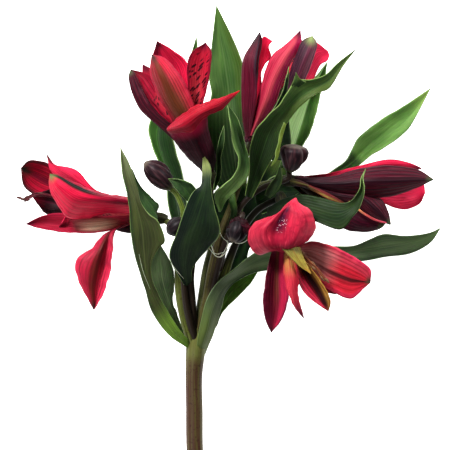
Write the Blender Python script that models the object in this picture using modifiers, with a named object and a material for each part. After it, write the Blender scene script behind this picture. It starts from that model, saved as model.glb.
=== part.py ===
"""A cut stem of alstroemeria lying on a surface: a round stem that splits into rays above a whorl of
leaves, five funnel blooms of six petals each, four closed buds and loose strap-shaped leaves.

The stem lies along Y with the blooms towards +Y, and +Z is up from the surface. Routes are in
millimetres in that frame, and the meshes are in metres."""

import math
from dataclasses import dataclass, replace

import bmesh
import bpy
import numpy as np
from mathutils import Vector

MM = 0.001

# Driving dimensions, in millimetres
STEM_RADIUS = 3.8
RAY_RADIUS = 1.7
OVARY_RADIUS = 2.7
OVARY_LENGTH = 8.0
OVARY_SWELL = ((0, 0.6), (0.3, 0.95), (0.7, 1.0), (1, 0.85))
BLADE_THICKNESS = 0.7
PETAL_THICKNESS = 0.65
FILAMENT_RADIUS = 0.45
# Thickness along a filament with its anther, and along the style, as a share of the radius
ANTHER = (1, 1, 1, 1.1, 2.4, 2.4, 0.8)
STYLE = (1.2, 1.1, 1, 0.8)
CLEARANCE = 0.35
ORIGIN = (2.45, -27.15)  # the middle of the plant's box, measured from the point where the routes start

# Routes give x and y as they're seen from the eye, which is above their starting point, and z as it is
EYE_HEIGHT = 1155.0
SEEN_HEIGHT = 30.0  # the height at which x and y as they're seen are true

# Cells along and across each leaf and petal
LEAF_CELLS = (13, 4)
BRACT_CELLS = (7, 2)
PETAL_CELLS = (7, 4)
TUBE_SIDES = 2  # bevel resolution, which gives eight sides
FILAMENT_SIDES = 1  # six sides

# Half width of each kind of blade along its length, as (share of the length, share of the widest)
LEAF_OUTLINE = (
    (0, 0.3), (0.12, 0.48), (0.3, 0.88), (0.45, 1.0), (0.62, 0.9), (0.8, 0.56), (0.93, 0.22), (1, 0.04))
LATE_OUTLINE = (
    (0, 0.25), (0.3, 0.42), (0.45, 0.62), (0.6, 0.86), (0.75, 1.0), (0.88, 0.74), (0.95, 0.38), (1, 0.04))
BRACT_OUTLINE = (
    (0, 0.5), (0.2, 0.9), (0.4, 1.0), (0.65, 0.75), (0.85, 0.35), (1, 0.08))
OUTER_OUTLINE = (
    (0, 0.26), (0.2, 0.36), (0.4, 0.68), (0.6, 0.95), (0.74, 1.0), (0.87, 0.78), (0.95, 0.4), (1, 0.1))
CAP_OUTLINE = (
    (0, 0.2), (0.25, 0.45), (0.42, 0.85), (0.58, 1.0), (0.75, 0.95), (0.88, 0.68), (0.96, 0.36), (1, 0.08))
INNER_OUTLINE = (
    (0, 0.24), (0.25, 0.36), (0.45, 0.66), (0.65, 0.98), (0.78, 1.0), (0.9, 0.6), (1, 0.08))

MATERIALS = {
    "stem_skin": ((0.20, 0.17, 0.09), 0.5),
    "leaf_green": ((0.07, 0.17, 0.04), 0.4),
    "petal_red": ((0.62, 0.01, 0.05), 0.45),
    "bud_purple": ((0.07, 0.02, 0.04), 0.4),
}


@dataclass
class Blade:
    """A leaf or a petal: its midrib's route, how wide it is, and how it turns and cups on the way."""

    route: tuple
    half_width: float
    roll: tuple = (0, 0)
    cup: tuple = (30, 30)
    wave: tuple = (0, 0, 0)
    outline: tuple = LEAF_OUTLINE


@dataclass
class Bloom:
    """A flower: where its petals start, which way it opens, and its petals from the outside in."""

    base: tuple
    aim: tuple
    petals: tuple
    reach: float = 38.0
    drift: tuple = (0, 0, 0)


def cap(points, half_width, roll=(0, 0), cup=(60, 40), wave=(1, 1.5, 0)):
    return Blade(points, half_width, roll, cup, wave, CAP_OUTLINE)


def outer(points, half_width, roll=(0, 0), cup=(60, 40), wave=(0.5, 1.5, 0)):
    return Blade(points, half_width, roll, cup, wave, OUTER_OUTLINE)


def inner(points, half_width, roll=(0, 0), cup=(60, 30), wave=(0.3, 1.5, 1)):
    return Blade(points, half_width, roll, cup, wave, INNER_OUTLINE)


# Stem and rays, from the cut end upwards, with the thickness as a share of the tube's radius
STEM = (
    (-9, -151, 3.7), (-12, -125, 8), (-13.6, -101, 13), (-13.8, -83, 16.5), (-14, -68, 19.5),
    (-13, -53, 22.5))
STEM_THICKNESS = (0.97, 0.98, 1.0, 1.0, 1.08, 1.2)
RAYS = {
    "bloom_left": ((-14, -55, 23), (-18, -42, 26), (-20.5, -28, 29), (-21, -14, 30), (-20.5, -3, 29.5)),
    "bloom_top_left": ((-14, -54, 23), (-15.5, -34, 27), (-15, -22, 30), (-12.5, -6, 32), (-8, 6, 33)),
    "bloom_top": ((-12, -54, 23), (-8, -34, 27), (-5, -17, 30), (-2, -4, 32), (3, 9, 33), (7, 21, 33.5)),
    "bloom_right": ((-13, -54, 22), (-9.8, -32, 24), (-7.2, -17, 26), (-3, -4, 27), (5, 9, 29), (14, 17, 31)),
    "bloom_low_right": ((-11, -54, 22), (-3, -30, 25), (2.5, -14, 27), (8, -2, 28), (15, 7, 29)),
    "bud_left": ((-13, -53, 24), (-17.5, -36, 30), (-19, -16, 34), (-19, 0, 37), (-19, 7, 39)),
    "bud_right": ((-11, -53, 23), (-6, -30, 29), (0, -8, 34), (8, 8, 36), (18, 15, 36)),
    "bud_centre": ((-3, -20, 29), (0, -9, 33), (5, 2, 35)),
    "bud_low_left": ((-19.3, -14, 33), (-16, -8, 37), (-12.5, -2, 41)),
}

BLOOMS = {
    "bloom_left": Bloom((-34, 3.5, 27), (-1, 0.1, 0), (
        outer(((-46, 8, 37), (-58, 12, 43), (-69, 17, 43), (-79, 23.5, 39)), 11, roll=(0, -20, -30)),
        outer(((-46, 6, 22), (-60, 9, 14), (-75, 15, 12), (-85, 21, 14), (-93, 26, 18)), 9),
        outer(((-41, -3, 30), (-49, -4, 35), (-56, -11, 37), (-59.5, -22, 36), (-59, -39, 33)), 8,
              roll=(0, 40, 65, 70)),
        inner(((-46, 10, 30), (-57, 16, 29), (-69, 21, 28), (-81, 31, 28)), 7),
        inner(((-46, 1, 24), (-60, 0, 22), (-75, 0, 20), (-90, 0.5, 19)), 6),
        inner(((-46, 4, 18), (-59, 4, 8), (-70, 6, 2.5), (-81, 10, 0.5)), 7),
    ), reach=55, drift=(0, 3, 4)),
    "bloom_top_left": Bloom((-8.5, 25.5, 40), (-0.45, 0.75, 0.45), (
        outer(((-18, 38, 44), (-29, 50, 46), (-37, 60, 47), (-42, 70, 45)), 9),
        outer(((-13, 42, 41), (-20, 56, 37), (-25, 70, 36), (-31, 83, 38)), 10),
        outer(((-13, 33, 52), (-19, 41, 62), (-15, 48, 70), (-4, 53.5, 70), (7, 60.5, 66)), 7,
              roll=(0, 0, 20, 30)),
        inner(((-15, 38, 50), (-21, 50, 57), (-26.5, 63, 60), (-33, 77, 59)), 8.5),
        inner(((-10.5, 39, 46), (-11.5, 55, 51), (-11.5, 69, 53), (-8.5, 82, 51)), 6.5, roll=(0, -30, -40)),
        inner(((-16, 40, 44), (-26, 56, 43), (-33, 66, 41), (-37, 72, 40)), 6),
    ), reach=56, drift=(0, 0, -4)),
    "bloom_top": Bloom((11, 38.5, 34), (0.3, 0.93, 0.05), (
        outer(((9.5, 52, 36), (11, 66, 39), (13, 77, 40), (16, 87.5, 38)), 7, roll=(0, 30, 40)),
        outer(((17, 52, 42), (25, 63, 48), (33, 75, 50), (39.5, 85.5, 48)), 8.5),
        outer(((19, 52, 30), (29, 62, 28), (38, 71, 29), (47, 78, 31)), 8.5),
        inner(((13.5, 53, 41), (19, 64, 45), (27, 76, 47), (34, 87.5, 45)), 6.5),
        inner(((12.5, 54, 29), (15, 68, 25), (17, 78, 26), (20.5, 83, 28)), 7),
        inner(((17, 54, 26), (25, 69, 21), (32, 78, 20), (38, 83, 21)), 6.5),
    )),
    "bloom_right": Bloom((33, 19.8, 32), (0.98, -0.05, 0.08), (
        outer(((50, 23, 33), (62, 24, 31), (75, 25.5, 30), (88.5, 26, 32)), 7),
        outer(((50, 18.5, 40), (65, 18.5, 46), (80, 20.5, 46), (94, 20.3, 42)), 10),
        outer(((45, 13, 34), (55, 5, 35), (63, 0.5, 36), (71.5, -0.8, 37)), 7, roll=(0, 30, 40)),
        inner(((50, 16, 31), (65, 13.5, 29), (79, 13, 29), (90.5, 16, 30)), 8.5),
        inner(((49, 15, 38), (59, 11, 42), (68, 7, 42), (74.7, 0.4, 39)), 5.5),
        inner(((50, 20, 25), (66, 21, 18), (80, 20, 15)), 7),
    )),
    "bloom_low_right": Bloom((26, 8, 36), (0.15, -0.75, 0.65), (
        cap(((27.5, -7, 50), (26, -7, 56), (25.5, -1, 60), (27.5, 5, 61), (31.5, 12, 58)), 15, cup=(60, 50)),
        outer(((25, -9, 45), (22.5, -24, 50), (21.5, -37, 50), (21, -49, 46)), 7),
        outer(((36, -8, 43), (46, -15, 46), (56, -22, 47), (65, -26.5, 44)), 10.5),
        inner(((28, -9, 48), (30, -23, 55), (31.5, -33, 55), (35.3, -42, 52)), 4.5),
        inner(((31, -9, 46), (37, -21, 53), (42, -29, 53), (47, -38.7, 50)), 6),
        inner(((32, -9, 39), (41, -21, 40), (50, -31, 40)), 6),
    ), reach=43, drift=(11, 0, -5)),
}

# Closed buds, from base to tip, with the radius at the widest
BUDS = {
    "bud_left": (((-24.5, 16.5, 41), (-36, 28, 44)), 5.4),
    "bud_right": (((28.8, 24.8, 38.7), (34, 36.5, 42)), 6.4),
    "bud_centre": (((4.5, 4, 44), (3, -7.5, 49)), 5.0),
    "bud_low_left": (((-17.5, 2, 43), (-26, -3.5, 41)), 4.0),
}
BUD_SWELL = ((0, 0.35), (0.12, 0.72), (0.35, 1.0), (0.6, 0.97), (0.82, 0.66), (0.95, 0.3), (1, 0.1))
BUD_RIBS = 6
BUD_RIB_DEPTH = 0.09

LEAVES = {
    "leaf_left": Blade(
        ((-17.3, -53, 25), (-24, -47, 32), (-30, -35.5, 39), (-34, -22.5, 43), (-35.5, -9, 45),
         (-37.5, 2, 46), (-40, 11.5, 45), (-43.5, 22.5, 43), (-46.4, 34.5, 40)),
        7.4, roll=(20, 10, -10, 0, 20, 20), cup=(60, 30, 10, 40, 50)),
    "leaf_left_low": Blade(
        ((-17.5, -52, 21), (-22, -41, 20), (-26, -29, 20), (-28, -19, 20), (-28, -9.5, 20)), 6,
        roll=(10, 0, 0), cup=(40, 20, 30)),
    "leaf_back_left": Blade(
        ((-18, -9, 21), (-20.5, 8, 16), (-24, 20, 13), (-27.5, 31.5, 11), (-29, 43, 9), (-27, 56, 8),
         (-21, 70, 7), (-12.5, 84.5, 7)),
        6.3, roll=(0, 10, 20, 0), cup=(40, 30, 30)),
    "leaf_top": Blade(
        ((6, 16, 22), (5, 30, 17), (3.5, 43, 13), (2, 57, 11), (0, 72, 10), (-1.8, 84, 9), (-3.8, 99, 9)),
        8.6, roll=(0, 5, 0), cup=(40, 20, 20)),
    "leaf_centre": Blade(
        ((-2.5, 2, 44), (-1.5, 10, 49), (4, 20, 53), (7.5, 31, 55), (6.5, 42, 56), (1.4, 53.5, 54)),
        5.2, roll=(30, 20, 0, -10), cup=(60, 70, 80)),
    "leaf_front": Blade(
        ((-19.5, -29, 34), (-18.5, -20, 42), (-16.3, -12.5, 50), (-13, -4, 56), (-11.7, 5, 57), (-10, 14, 56),
         (-8, 23, 54), (-10, 32, 50)),
        9.6, roll=(0, 0, 0, 10, 20), cup=(40, 30, 60)),
    "leaf_right_front": Blade(
        ((24, 12, 44), (33, 9, 50), (43.5, 5, 55), (53, 4.5, 58), (59.5, 11, 59), (62.3, 25, 57)),
        6.2, roll=(0, 0, 0), cup=(40, 40, 50)),
    "leaf_cross": Blade(
        ((10.5, 18, 42), (13, 28, 47), (18, 40, 53), (24, 51, 56), (32, 58.5, 57), (41, 63.5, 56),
         (50, 71.5, 54), (59.3, 79.3, 51)),
        6, roll=(0, 10, 10, 30), cup=(40, 30, 40), wave=(1.2, 2, 0)),
    "leaf_behind_bloom": Blade(
        ((18, 32, 29), (22, 49, 24), (26, 61, 17), (29, 71, 14)), 3.5, roll=(20, 20), cup=(40, 40)),
    "leaf_back_right": Blade(
        ((25, 26, 20), (31, 36, 14), (34.5, 46, 10), (37.5, 56, 9), (41.5, 65, 8), (46, 73.5, 8)), 6.2,
        roll=(0, 10, 20), cup=(50, 30, 30)),
    "leaf_right": Blade(
        ((32, 12, 22), (45, 20.5, 17), (55, 27.5, 12), (61.5, 34, 9), (69.5, 40.5, 7), (79.5, 47.5, 4),
         (87, 54, 2), (92.6, 61.5, 0.4)),
        6.3, roll=(30, 20, 0, 0), cup=(40, 30, 20), outline=LATE_OUTLINE),
    "leaf_low_right": Blade(
        ((-9.5, -52.5, 21), (-7, -44.5, 23), (-5, -37.5, 25), (-1.2, -29, 26), (5, -24, 25), (14, -20.3, 23),
         (29, -16.7, 20), (50, -13, 15), (63, -11.3, 12), (79, -8.6, 8), (90, -5.4, 5), (97, -1.3, 3)),
        5.4, roll=(10, 30, 20, 0, 0), cup=(60, 40, 20, 20)),
    "leaf_low_back": Blade(
        ((-8, -52, 18), (-4, -41, 17), (1, -32, 16), (8, -25, 15), (15, -21, 14)), 5.5,
        roll=(0, 0), cup=(40, 20)),
    "leaf_inner_right": Blade(
        ((-6, -36, 14), (1, -23, 11), (8, -11, 10), (14, 0, 9), (19, 9, 8)), 3.2, roll=(0, 0), cup=(40, 20)),
    "bract_bud_left": Blade(
        ((-15, 10, 46), (-18, 15, 48), (-21.5, 19.5, 48), (-25, 22, 47)), 3.6, roll=(0, 0), cup=(70, 60),
        outline=BRACT_OUTLINE),
    "bract_centre": Blade(
        ((-5, 15, 44), (-4, 27, 48), (-2, 36, 49), (-0.5, 45, 47)), 2.8, roll=(20, 10), cup=(70, 60),
        outline=BRACT_OUTLINE),
    "bract_right": Blade(
        ((19, 13, 41), (24, 20, 45), (25, 27, 46)), 2.8, roll=(0, 20), cup=(70, 60), outline=BRACT_OUTLINE),
}


def spline(points, count):
    """Points at even spacing on a smooth curve through the given ones."""
    given = np.array(points, float)
    ends = np.vstack([2 * given[0] - given[1], given, 2 * given[-1] - given[-2]])
    steps = np.linspace(0, 1, 24, endpoint=False)[:, None]
    dense = []
    for a, b, c, d in zip(ends, ends[1:], ends[2:], ends[3:]):
        dense.append(0.5 * (2 * b + (c - a) * steps + (2 * a - 5 * b + 4 * c - d) * steps**2
                            + (3 * b - a - 3 * c + d) * steps**3))
    dense = np.vstack([*dense, given[-1:]])
    length = np.concatenate([[0], np.cumsum(np.linalg.norm(np.diff(dense, axis=0), axis=1))])
    at = np.linspace(0, length[-1], count)
    return np.stack([np.interp(at, length, dense[:, k]) for k in range(3)], axis=1)


def eased(values, shares):
    """Values given at even stations, read at any share of the length with no kinks."""
    stations = np.linspace(0, 1, len(values))
    index = np.clip(np.searchsorted(stations, shares, side="right") - 1, 0, len(values) - 2)
    part = (shares - stations[index]) / (stations[index + 1] - stations[index])
    part = part * part * (3 - 2 * part)
    values = np.array(values, float)
    return values[index] * (1 - part) + values[index + 1] * part


def unit(vectors):
    return vectors / np.linalg.norm(vectors, axis=-1, keepdims=True)


def blade_surface(blade, cells, hinge=None):
    """The blade's middle surface, in millimetres, as rows of points from base to tip.

    A leaf faces up. A petal faces the bloom's axis: hinge is the line that it opens about."""
    along, across = cells
    share = np.linspace(0, 1, along + 1)
    rib = spline(blade.route, along + 1)
    run = unit(np.gradient(rib, axis=0))
    if hinge is None:
        up = np.array((0.0, 0.0, 1.0))
        face = unit(up - run * (run @ up)[:, None])
    else:
        face = unit(np.cross(run, hinge))
    side = np.cross(run, face)
    turn = np.radians(eased(blade.roll, share))[:, None]
    side, face = side * np.cos(turn) + face * np.sin(turn), face * np.cos(turn) - side * np.sin(turn)
    stations, widths = zip(*blade.outline)
    width = (blade.half_width * np.interp(share, stations, widths))[:, None]
    cup = np.radians(np.maximum(eased(blade.cup, share), 1))[:, None]
    place = np.linspace(-1, 1, across + 1)[None, :]
    out = width * np.sin(cup * place) / cup
    height, count, phase = blade.wave
    ripple = height * place**2 * np.sin(2 * math.pi * count * share[:, None] + phase + 0.8 * place)
    lift = width * (1 - np.cos(cup * place)) / cup + ripple * np.sin(math.pi * share[:, None])
    return rib[:, None] + side[:, None] * out[..., None] + face[:, None] * lift[..., None]


def placed(point):
    """A point of the routes, in metres from the plant's own origin."""
    x, y, z = point
    near = (EYE_HEIGHT - z) / (EYE_HEIGHT - SEEN_HEIGHT)
    return Vector((x * near - ORIGIN[0], y * near - ORIGIN[1], z)) * MM


def material(name):
    made = bpy.data.materials.get(name)
    if made is None:
        colour, roughness = MATERIALS[name]
        made = bpy.data.materials.new(name)
        made.use_nodes = True
        shader = made.node_tree.nodes["Principled BSDF"]
        shader.inputs["Base Color"].default_value = (*colour, 1)
        shader.inputs["Roughness"].default_value = roughness
        shader.inputs["Metallic"].default_value = 0
    return made


def new_object(name, mesh, finish):
    mesh.materials.clear()
    mesh.materials.append(material(finish))
    obj = bpy.data.objects.new(name, mesh)
    plant.objects.link(obj)
    return obj


def blade_object(name, blade, cells, thickness, finish, hinge=None):
    """A thin closed blade: a grid laid on the blade's surface, split into triangles and thickened."""
    surface = blade_surface(blade, cells, hinge)
    along, across = cells
    grid = bmesh.new()
    bmesh.ops.create_grid(grid, x_segments=along, y_segments=across, size=1)
    for vertex in grid.verts:
        row = round((vertex.co.x + 1) / 2 * along)
        column = round((1 - vertex.co.y) / 2 * across)
        vertex.co = placed(surface[row, column])
    bmesh.ops.triangulate(grid, faces=grid.faces)
    mesh = bpy.data.meshes.new(name)
    grid.to_mesh(mesh)
    grid.free()
    mesh.shade_smooth()
    obj = new_object(name, mesh, finish)
    solidify = obj.modifiers.new("thickness", "SOLIDIFY")
    solidify.thickness = thickness * MM
    solidify.offset = 0
    return obj


def tube_object(name, points, radius, thicknesses, finish, count=14, sides=TUBE_SIDES):
    """A round tube along a smooth route, made a mesh so that it can be joined."""
    curve = bpy.data.curves.new(name, "CURVE")
    curve.dimensions = "3D"
    curve.bevel_depth = radius * MM
    curve.bevel_resolution = sides
    curve.use_fill_caps = True
    line = curve.splines.new("POLY")
    line.points.add(count - 1)
    for point, place, share in zip(line.points, spline(points, count), np.linspace(0, 1, count)):
        point.co = (*placed(place), 1)
        point.radius = np.interp(share, np.linspace(0, 1, len(thicknesses)), thicknesses)
    guide = bpy.data.objects.new(name, curve)
    plant.objects.link(guide)
    mesh = evaluated_mesh(guide)
    bpy.data.objects.remove(guide)
    weld(mesh)
    return new_object(name, mesh, finish)


def evaluated_mesh(obj):
    """The object's mesh with its modifiers applied."""
    bpy.context.view_layer.update()
    graph = bpy.context.evaluated_depsgraph_get()
    return bpy.data.meshes.new_from_object(obj.evaluated_get(graph))


def weld(mesh):
    """Joins a tube's caps to its wall."""
    welded = bmesh.new()
    welded.from_mesh(mesh)
    bmesh.ops.remove_doubles(welded, verts=welded.verts, dist=1e-6)
    welded.to_mesh(mesh)
    welded.free()


def turned_object(name, start, end, radius, swell, finish, rings=6, sides=10, ribs=0):
    """A round body along a straight line, with its radius set by a profile and raised in ribs."""
    start, end = placed(start), placed(end)
    axis = end - start
    body = bmesh.new()
    bmesh.ops.create_cone(body, cap_ends=True, segments=sides, radius1=1, radius2=1, depth=1)
    bmesh.ops.subdivide_edges(
        body, edges=[e for e in body.edges if abs(e.verts[0].co.z - e.verts[1].co.z) > 0.5], cuts=rings - 1)
    stations, widths = zip(*swell)
    for vertex in body.verts:
        share = vertex.co.z + 0.5
        angle = math.atan2(vertex.co.y, vertex.co.x)
        ridge = 1 + BUD_RIB_DEPTH * math.cos(ribs * angle) if ribs else 1
        wide = radius * MM * float(np.interp(share, stations, widths)) * ridge
        vertex.co = Vector((vertex.co.x * wide, vertex.co.y * wide, share * axis.length))
    body.transform(axis.to_track_quat("Z", "Y").to_matrix().to_4x4())
    bmesh.ops.translate(body, verts=body.verts, vec=start)
    mesh = bpy.data.meshes.new(name)
    body.to_mesh(mesh)
    body.free()
    mesh.shade_smooth()
    return new_object(name, mesh, finish)


def fuse(body, others):
    """Joins the others into the body, and removes them."""
    group = bpy.data.collections.new(body.name + "_pieces")
    for piece in others:
        group.objects.link(piece)
    union = body.modifiers.new("union", "BOOLEAN")
    union.operation = "UNION"
    union.operand_type = "COLLECTION"
    union.collection = group
    union.solver = "MANIFOLD"
    mesh = evaluated_mesh(body)
    body.modifiers.clear()
    body.data = mesh
    for piece in others:
        bpy.data.objects.remove(piece)
    bpy.data.collections.remove(group)
    return body


def ovary_ends(bloom):
    aim = unit(np.array(bloom.aim, float))
    base = np.array(bloom.base, float)
    return base - aim * (OVARY_LENGTH + CLEARANCE), base - aim * CLEARANCE


def build_stem(name, extra):
    """The stem, its rays and the ovary under each bloom. extra is added to every radius."""
    finish = "stem_skin"
    main = tube_object(name, STEM, STEM_RADIUS + extra, STEM_THICKNESS, finish, count=16)
    pieces = []
    for top, points in RAYS.items():
        if top in BLOOMS:
            low, high = ovary_ends(BLOOMS[top])
            pieces.append(turned_object(
                f"{name}_ovary_{top}", low, high, OVARY_RADIUS + extra, OVARY_SWELL, finish,
                rings=4, sides=12))
            ends = (low + unit(high - low) * 2.5,)
            thin = (1.35, 1.1, 0.95, 0.85)
        else:
            start, tip = np.array(BUDS[top][0], float)
            axis = unit(tip - start)
            ends = (start - axis * 4, start - axis * (3 * CLEARANCE - extra))
            thin = (1.1, 0.85, 0.75, 0.75)
        pieces.append(tube_object(
            f"{name}_{top}", (*points, *ends), RAY_RADIUS + extra, thin, finish, count=10))
    return fuse(main, pieces)


def petal_blade(bloom, petal):
    """The petal with its root on the bloom's rim, and the line that it opens about."""
    aim = unit(np.array(bloom.aim, float))
    base = np.array(bloom.base, float)
    towards = np.array(petal.route[0], float) - base
    radial = unit(towards - aim * (towards @ aim))
    ring = 1.5 if petal.outline is INNER_OUTLINE else 2.0
    root = base + aim * 1.2 + radial * ring
    route = (tuple(root), *petal.route)
    return replace(petal, route=route), np.cross(aim, radial)


def filament_routes(bloom):
    """A style and then six filaments, which leave the cup together and fan out towards their tips."""
    aim = unit(np.array(bloom.aim, float))
    base = np.array(bloom.base, float)
    drift = np.array(bloom.drift, float)
    first = unit(np.cross(aim, (0.3, 0.2, 0.9)))
    second = np.cross(aim, first)
    for n in range(7):
        angle = 2 * math.pi * n / 6
        off = (first * math.cos(angle) + second * math.sin(angle)) * (n > 0)
        length = bloom.reach * (1 - 0.07 * (n % 3))
        yield (base + aim * 2.5 + off * 0.9, base + aim * 0.4 * length + off * 1.5 + drift * 0.2,
               base + aim * 0.75 * length + off * 2.8 + drift * 0.6, base + aim * length + off * 3.6 + drift)


def build_bloom(name, bloom):
    aim = unit(np.array(bloom.aim, float))
    base = np.array(bloom.base, float)
    cup = turned_object(
        name, base, base + aim * 4.5, 2.6, ((0, 0.9), (0.5, 1.0), (1, 0.75)), "petal_red", rings=2, sides=12)
    pieces = []
    for n, petal in enumerate(bloom.petals):
        blade, hinge = petal_blade(bloom, petal)
        pieces.append(blade_object(
            f"{name}_petal_{n}", blade, PETAL_CELLS, PETAL_THICKNESS, "petal_red", hinge))
    for n, route in enumerate(filament_routes(bloom)):
        swell, count = (ANTHER, 7) if n else (STYLE, 4)
        pieces.append(tube_object(
            f"{name}_filament_{n}", route, FILAMENT_RADIUS, swell, "petal_red", count, FILAMENT_SIDES))
    return fuse(cup, pieces)


def build_bud(name, ends, radius):
    start, end = ends
    return turned_object(name, start, end, radius, BUD_SWELL, "bud_purple", rings=7, sides=18, ribs=BUD_RIBS)


def build_leaf(name, blade, clearance):
    cells = BRACT_CELLS if blade.outline is BRACT_OUTLINE else LEAF_CELLS
    leaf = blade_object(name, blade, cells, BLADE_THICKNESS, "leaf_green")
    cut = leaf.modifiers.new("clear of the stem", "BOOLEAN")
    cut.operation = "DIFFERENCE"
    cut.object = clearance
    mesh = evaluated_mesh(leaf)
    leaf.modifiers.clear()
    leaf.data = mesh
    keep_largest(mesh)
    return leaf


def keep_largest(mesh):
    """Leaves only the largest loose part of the mesh."""
    body = bmesh.new()
    body.from_mesh(mesh)
    parts = []
    left = set(body.verts)
    while left:
        part, edge = set(), [left.pop()]
        while edge:
            vertex = edge.pop()
            part.add(vertex)
            near = {e.other_vert(vertex) for e in vertex.link_edges} & left
            left -= near
            edge.extend(near)
        parts.append(part)
    parts.sort(key=len)
    bmesh.ops.delete(body, geom=[v for part in parts[:-1] for v in part], context="VERTS")
    body.to_mesh(mesh)
    body.free()


def clear_scene():
    for obj in list(bpy.data.objects):
        bpy.data.objects.remove(obj)


def new_collection(name):
    made = bpy.data.collections.new(name)
    bpy.context.scene.collection.children.link(made)
    return made


clear_scene()
plant = new_collection("alstroemeria stem")
build_stem("stem", 0)
for bloom_name, bloom in BLOOMS.items():
    build_bloom(bloom_name, bloom)
for bud_name, (ends, radius) in BUDS.items():
    build_bud(bud_name, ends, radius)
clearance = build_stem("stem_clearance", CLEARANCE)
for leaf_name, blade in LEAVES.items():
    build_leaf(leaf_name, blade, clearance)
bpy.data.objects.remove(clearance)
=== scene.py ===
"""The looks of a cut alstroemeria stem, seen from above as it lies on a lit white table.

Petals and leaves are thin sheets laid over listed rails. The stem, ovaries, buds, stamens and threads
are tubes along smooth routes. Each material is made of shader nodes, laid out down and across its piece."""

import math
from dataclasses import dataclass, replace

import bpy
import numpy as np
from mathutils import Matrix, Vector


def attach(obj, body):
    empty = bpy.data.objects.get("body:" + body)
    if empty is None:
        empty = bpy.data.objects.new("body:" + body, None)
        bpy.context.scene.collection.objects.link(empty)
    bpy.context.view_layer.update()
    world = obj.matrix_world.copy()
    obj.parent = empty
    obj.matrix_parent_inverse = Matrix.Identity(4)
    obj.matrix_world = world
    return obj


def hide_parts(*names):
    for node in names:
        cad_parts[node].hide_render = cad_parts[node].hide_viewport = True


MM = 0.001

# Sizes in millimetres
ORIGIN = (2.45, -27.15)  # the middle of the plant's box, measured from the point where the routes start
EYE_HEIGHT = 1155.0  # routes give x and y as they're seen from the eye, which is above their starting point
SEEN_HEIGHT = 30.0  # the height at which x and y as they're seen are true
STEP = 0.45  # one grid step of the sheets' rails
LENS = 200.0
SENSOR = 36.0
STEM_RADIUS = 3.8
RAY_RADIUS = 1.7
OVARY_RADIUS = 2.7
OVARY_LENGTH = 8.0
OVARY_OVERLAP = 2.5  # how far a ray runs into its ovary
BUD_RAY_END = 4.0  # how far under its bud a ray straightens
CUP_RADIUS = 2.6
PETAL_RING = 1.5  # from the bloom's axis to the root of its hidden petal
PETAL_RISE = 1.2  # from the bloom's base to that root
FILAMENT_RADIUS = 0.32
ANTHER_RADIUS = 0.5
THREAD_RADIUS = 0.24
FINE_THREAD_RADIUS = 0.14
CLEARANCE = 0.35
LEAF_THICKNESS = 0.4
PETAL_THICKNESS = 0.35

MIDDLE = 225.0  # the grid's middle, where the routes start, in steps
SHEET_PETALS = 5
FILAMENTS = 6

# Cells along and across each sheet
LEAF_CELLS = (80, 18)
BRACT_CELLS = (36, 12)
PETAL_CELLS = (64, 32)

# Half width of a blade along its length, as (share of the length, share of the widest)
LEAF_OUTLINE = (
    (0, 0.3), (0.12, 0.48), (0.3, 0.88), (0.45, 1.0), (0.62, 0.9), (0.8, 0.56), (0.93, 0.22), (1, 0.02))
BRACT_OUTLINE = (
    (0, 0.5), (0.2, 0.9), (0.4, 1.0), (0.65, 0.75), (0.85, 0.35), (1, 0.04))
PETAL_OUTLINE = (
    (0, 0.24), (0.25, 0.36), (0.45, 0.66), (0.65, 0.98), (0.78, 1.0), (0.9, 0.6), (1, 0.05))


@dataclass
class Blade:
    """A hidden leaf or petal: its midrib's route, how wide it is, and how it turns, cups and waves."""

    route: tuple
    half_width: float
    roll: tuple = (0, 0)
    cup: tuple = (30, 30)
    wave: tuple = (0, 0, 0)
    outline: tuple = LEAF_OUTLINE
    crinkle: float = 0.0
    finish: tuple = ("leaf_dark", "leaf_under")


@dataclass
class Bloom:
    """A flower: where its petals start, which way it opens, and the route of the petal that is hidden."""

    base: tuple
    aim: tuple
    hidden: tuple
    half_width: float


@dataclass
class Sheet:
    """A petal or leaf given by rails from its base to its tip, from its left side to its right side.

    A rail's points are (across, down, height). Across and down count grid steps on the view from the eye.
    Height, frill and relief are in millimetres: frill waves the edges, and relief is the furrows' depth.
    The finish is the material of the side that faces the eye and then of the other side.
    """

    rails: tuple
    finish: tuple
    frill: float = 0.35
    relief: float = 0.10
    furrows: int = 9


def meeting(tip, *rails):
    """The rails, each carried on to the tip where they meet."""
    return tuple((*rail, tip) for rail in rails)


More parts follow.
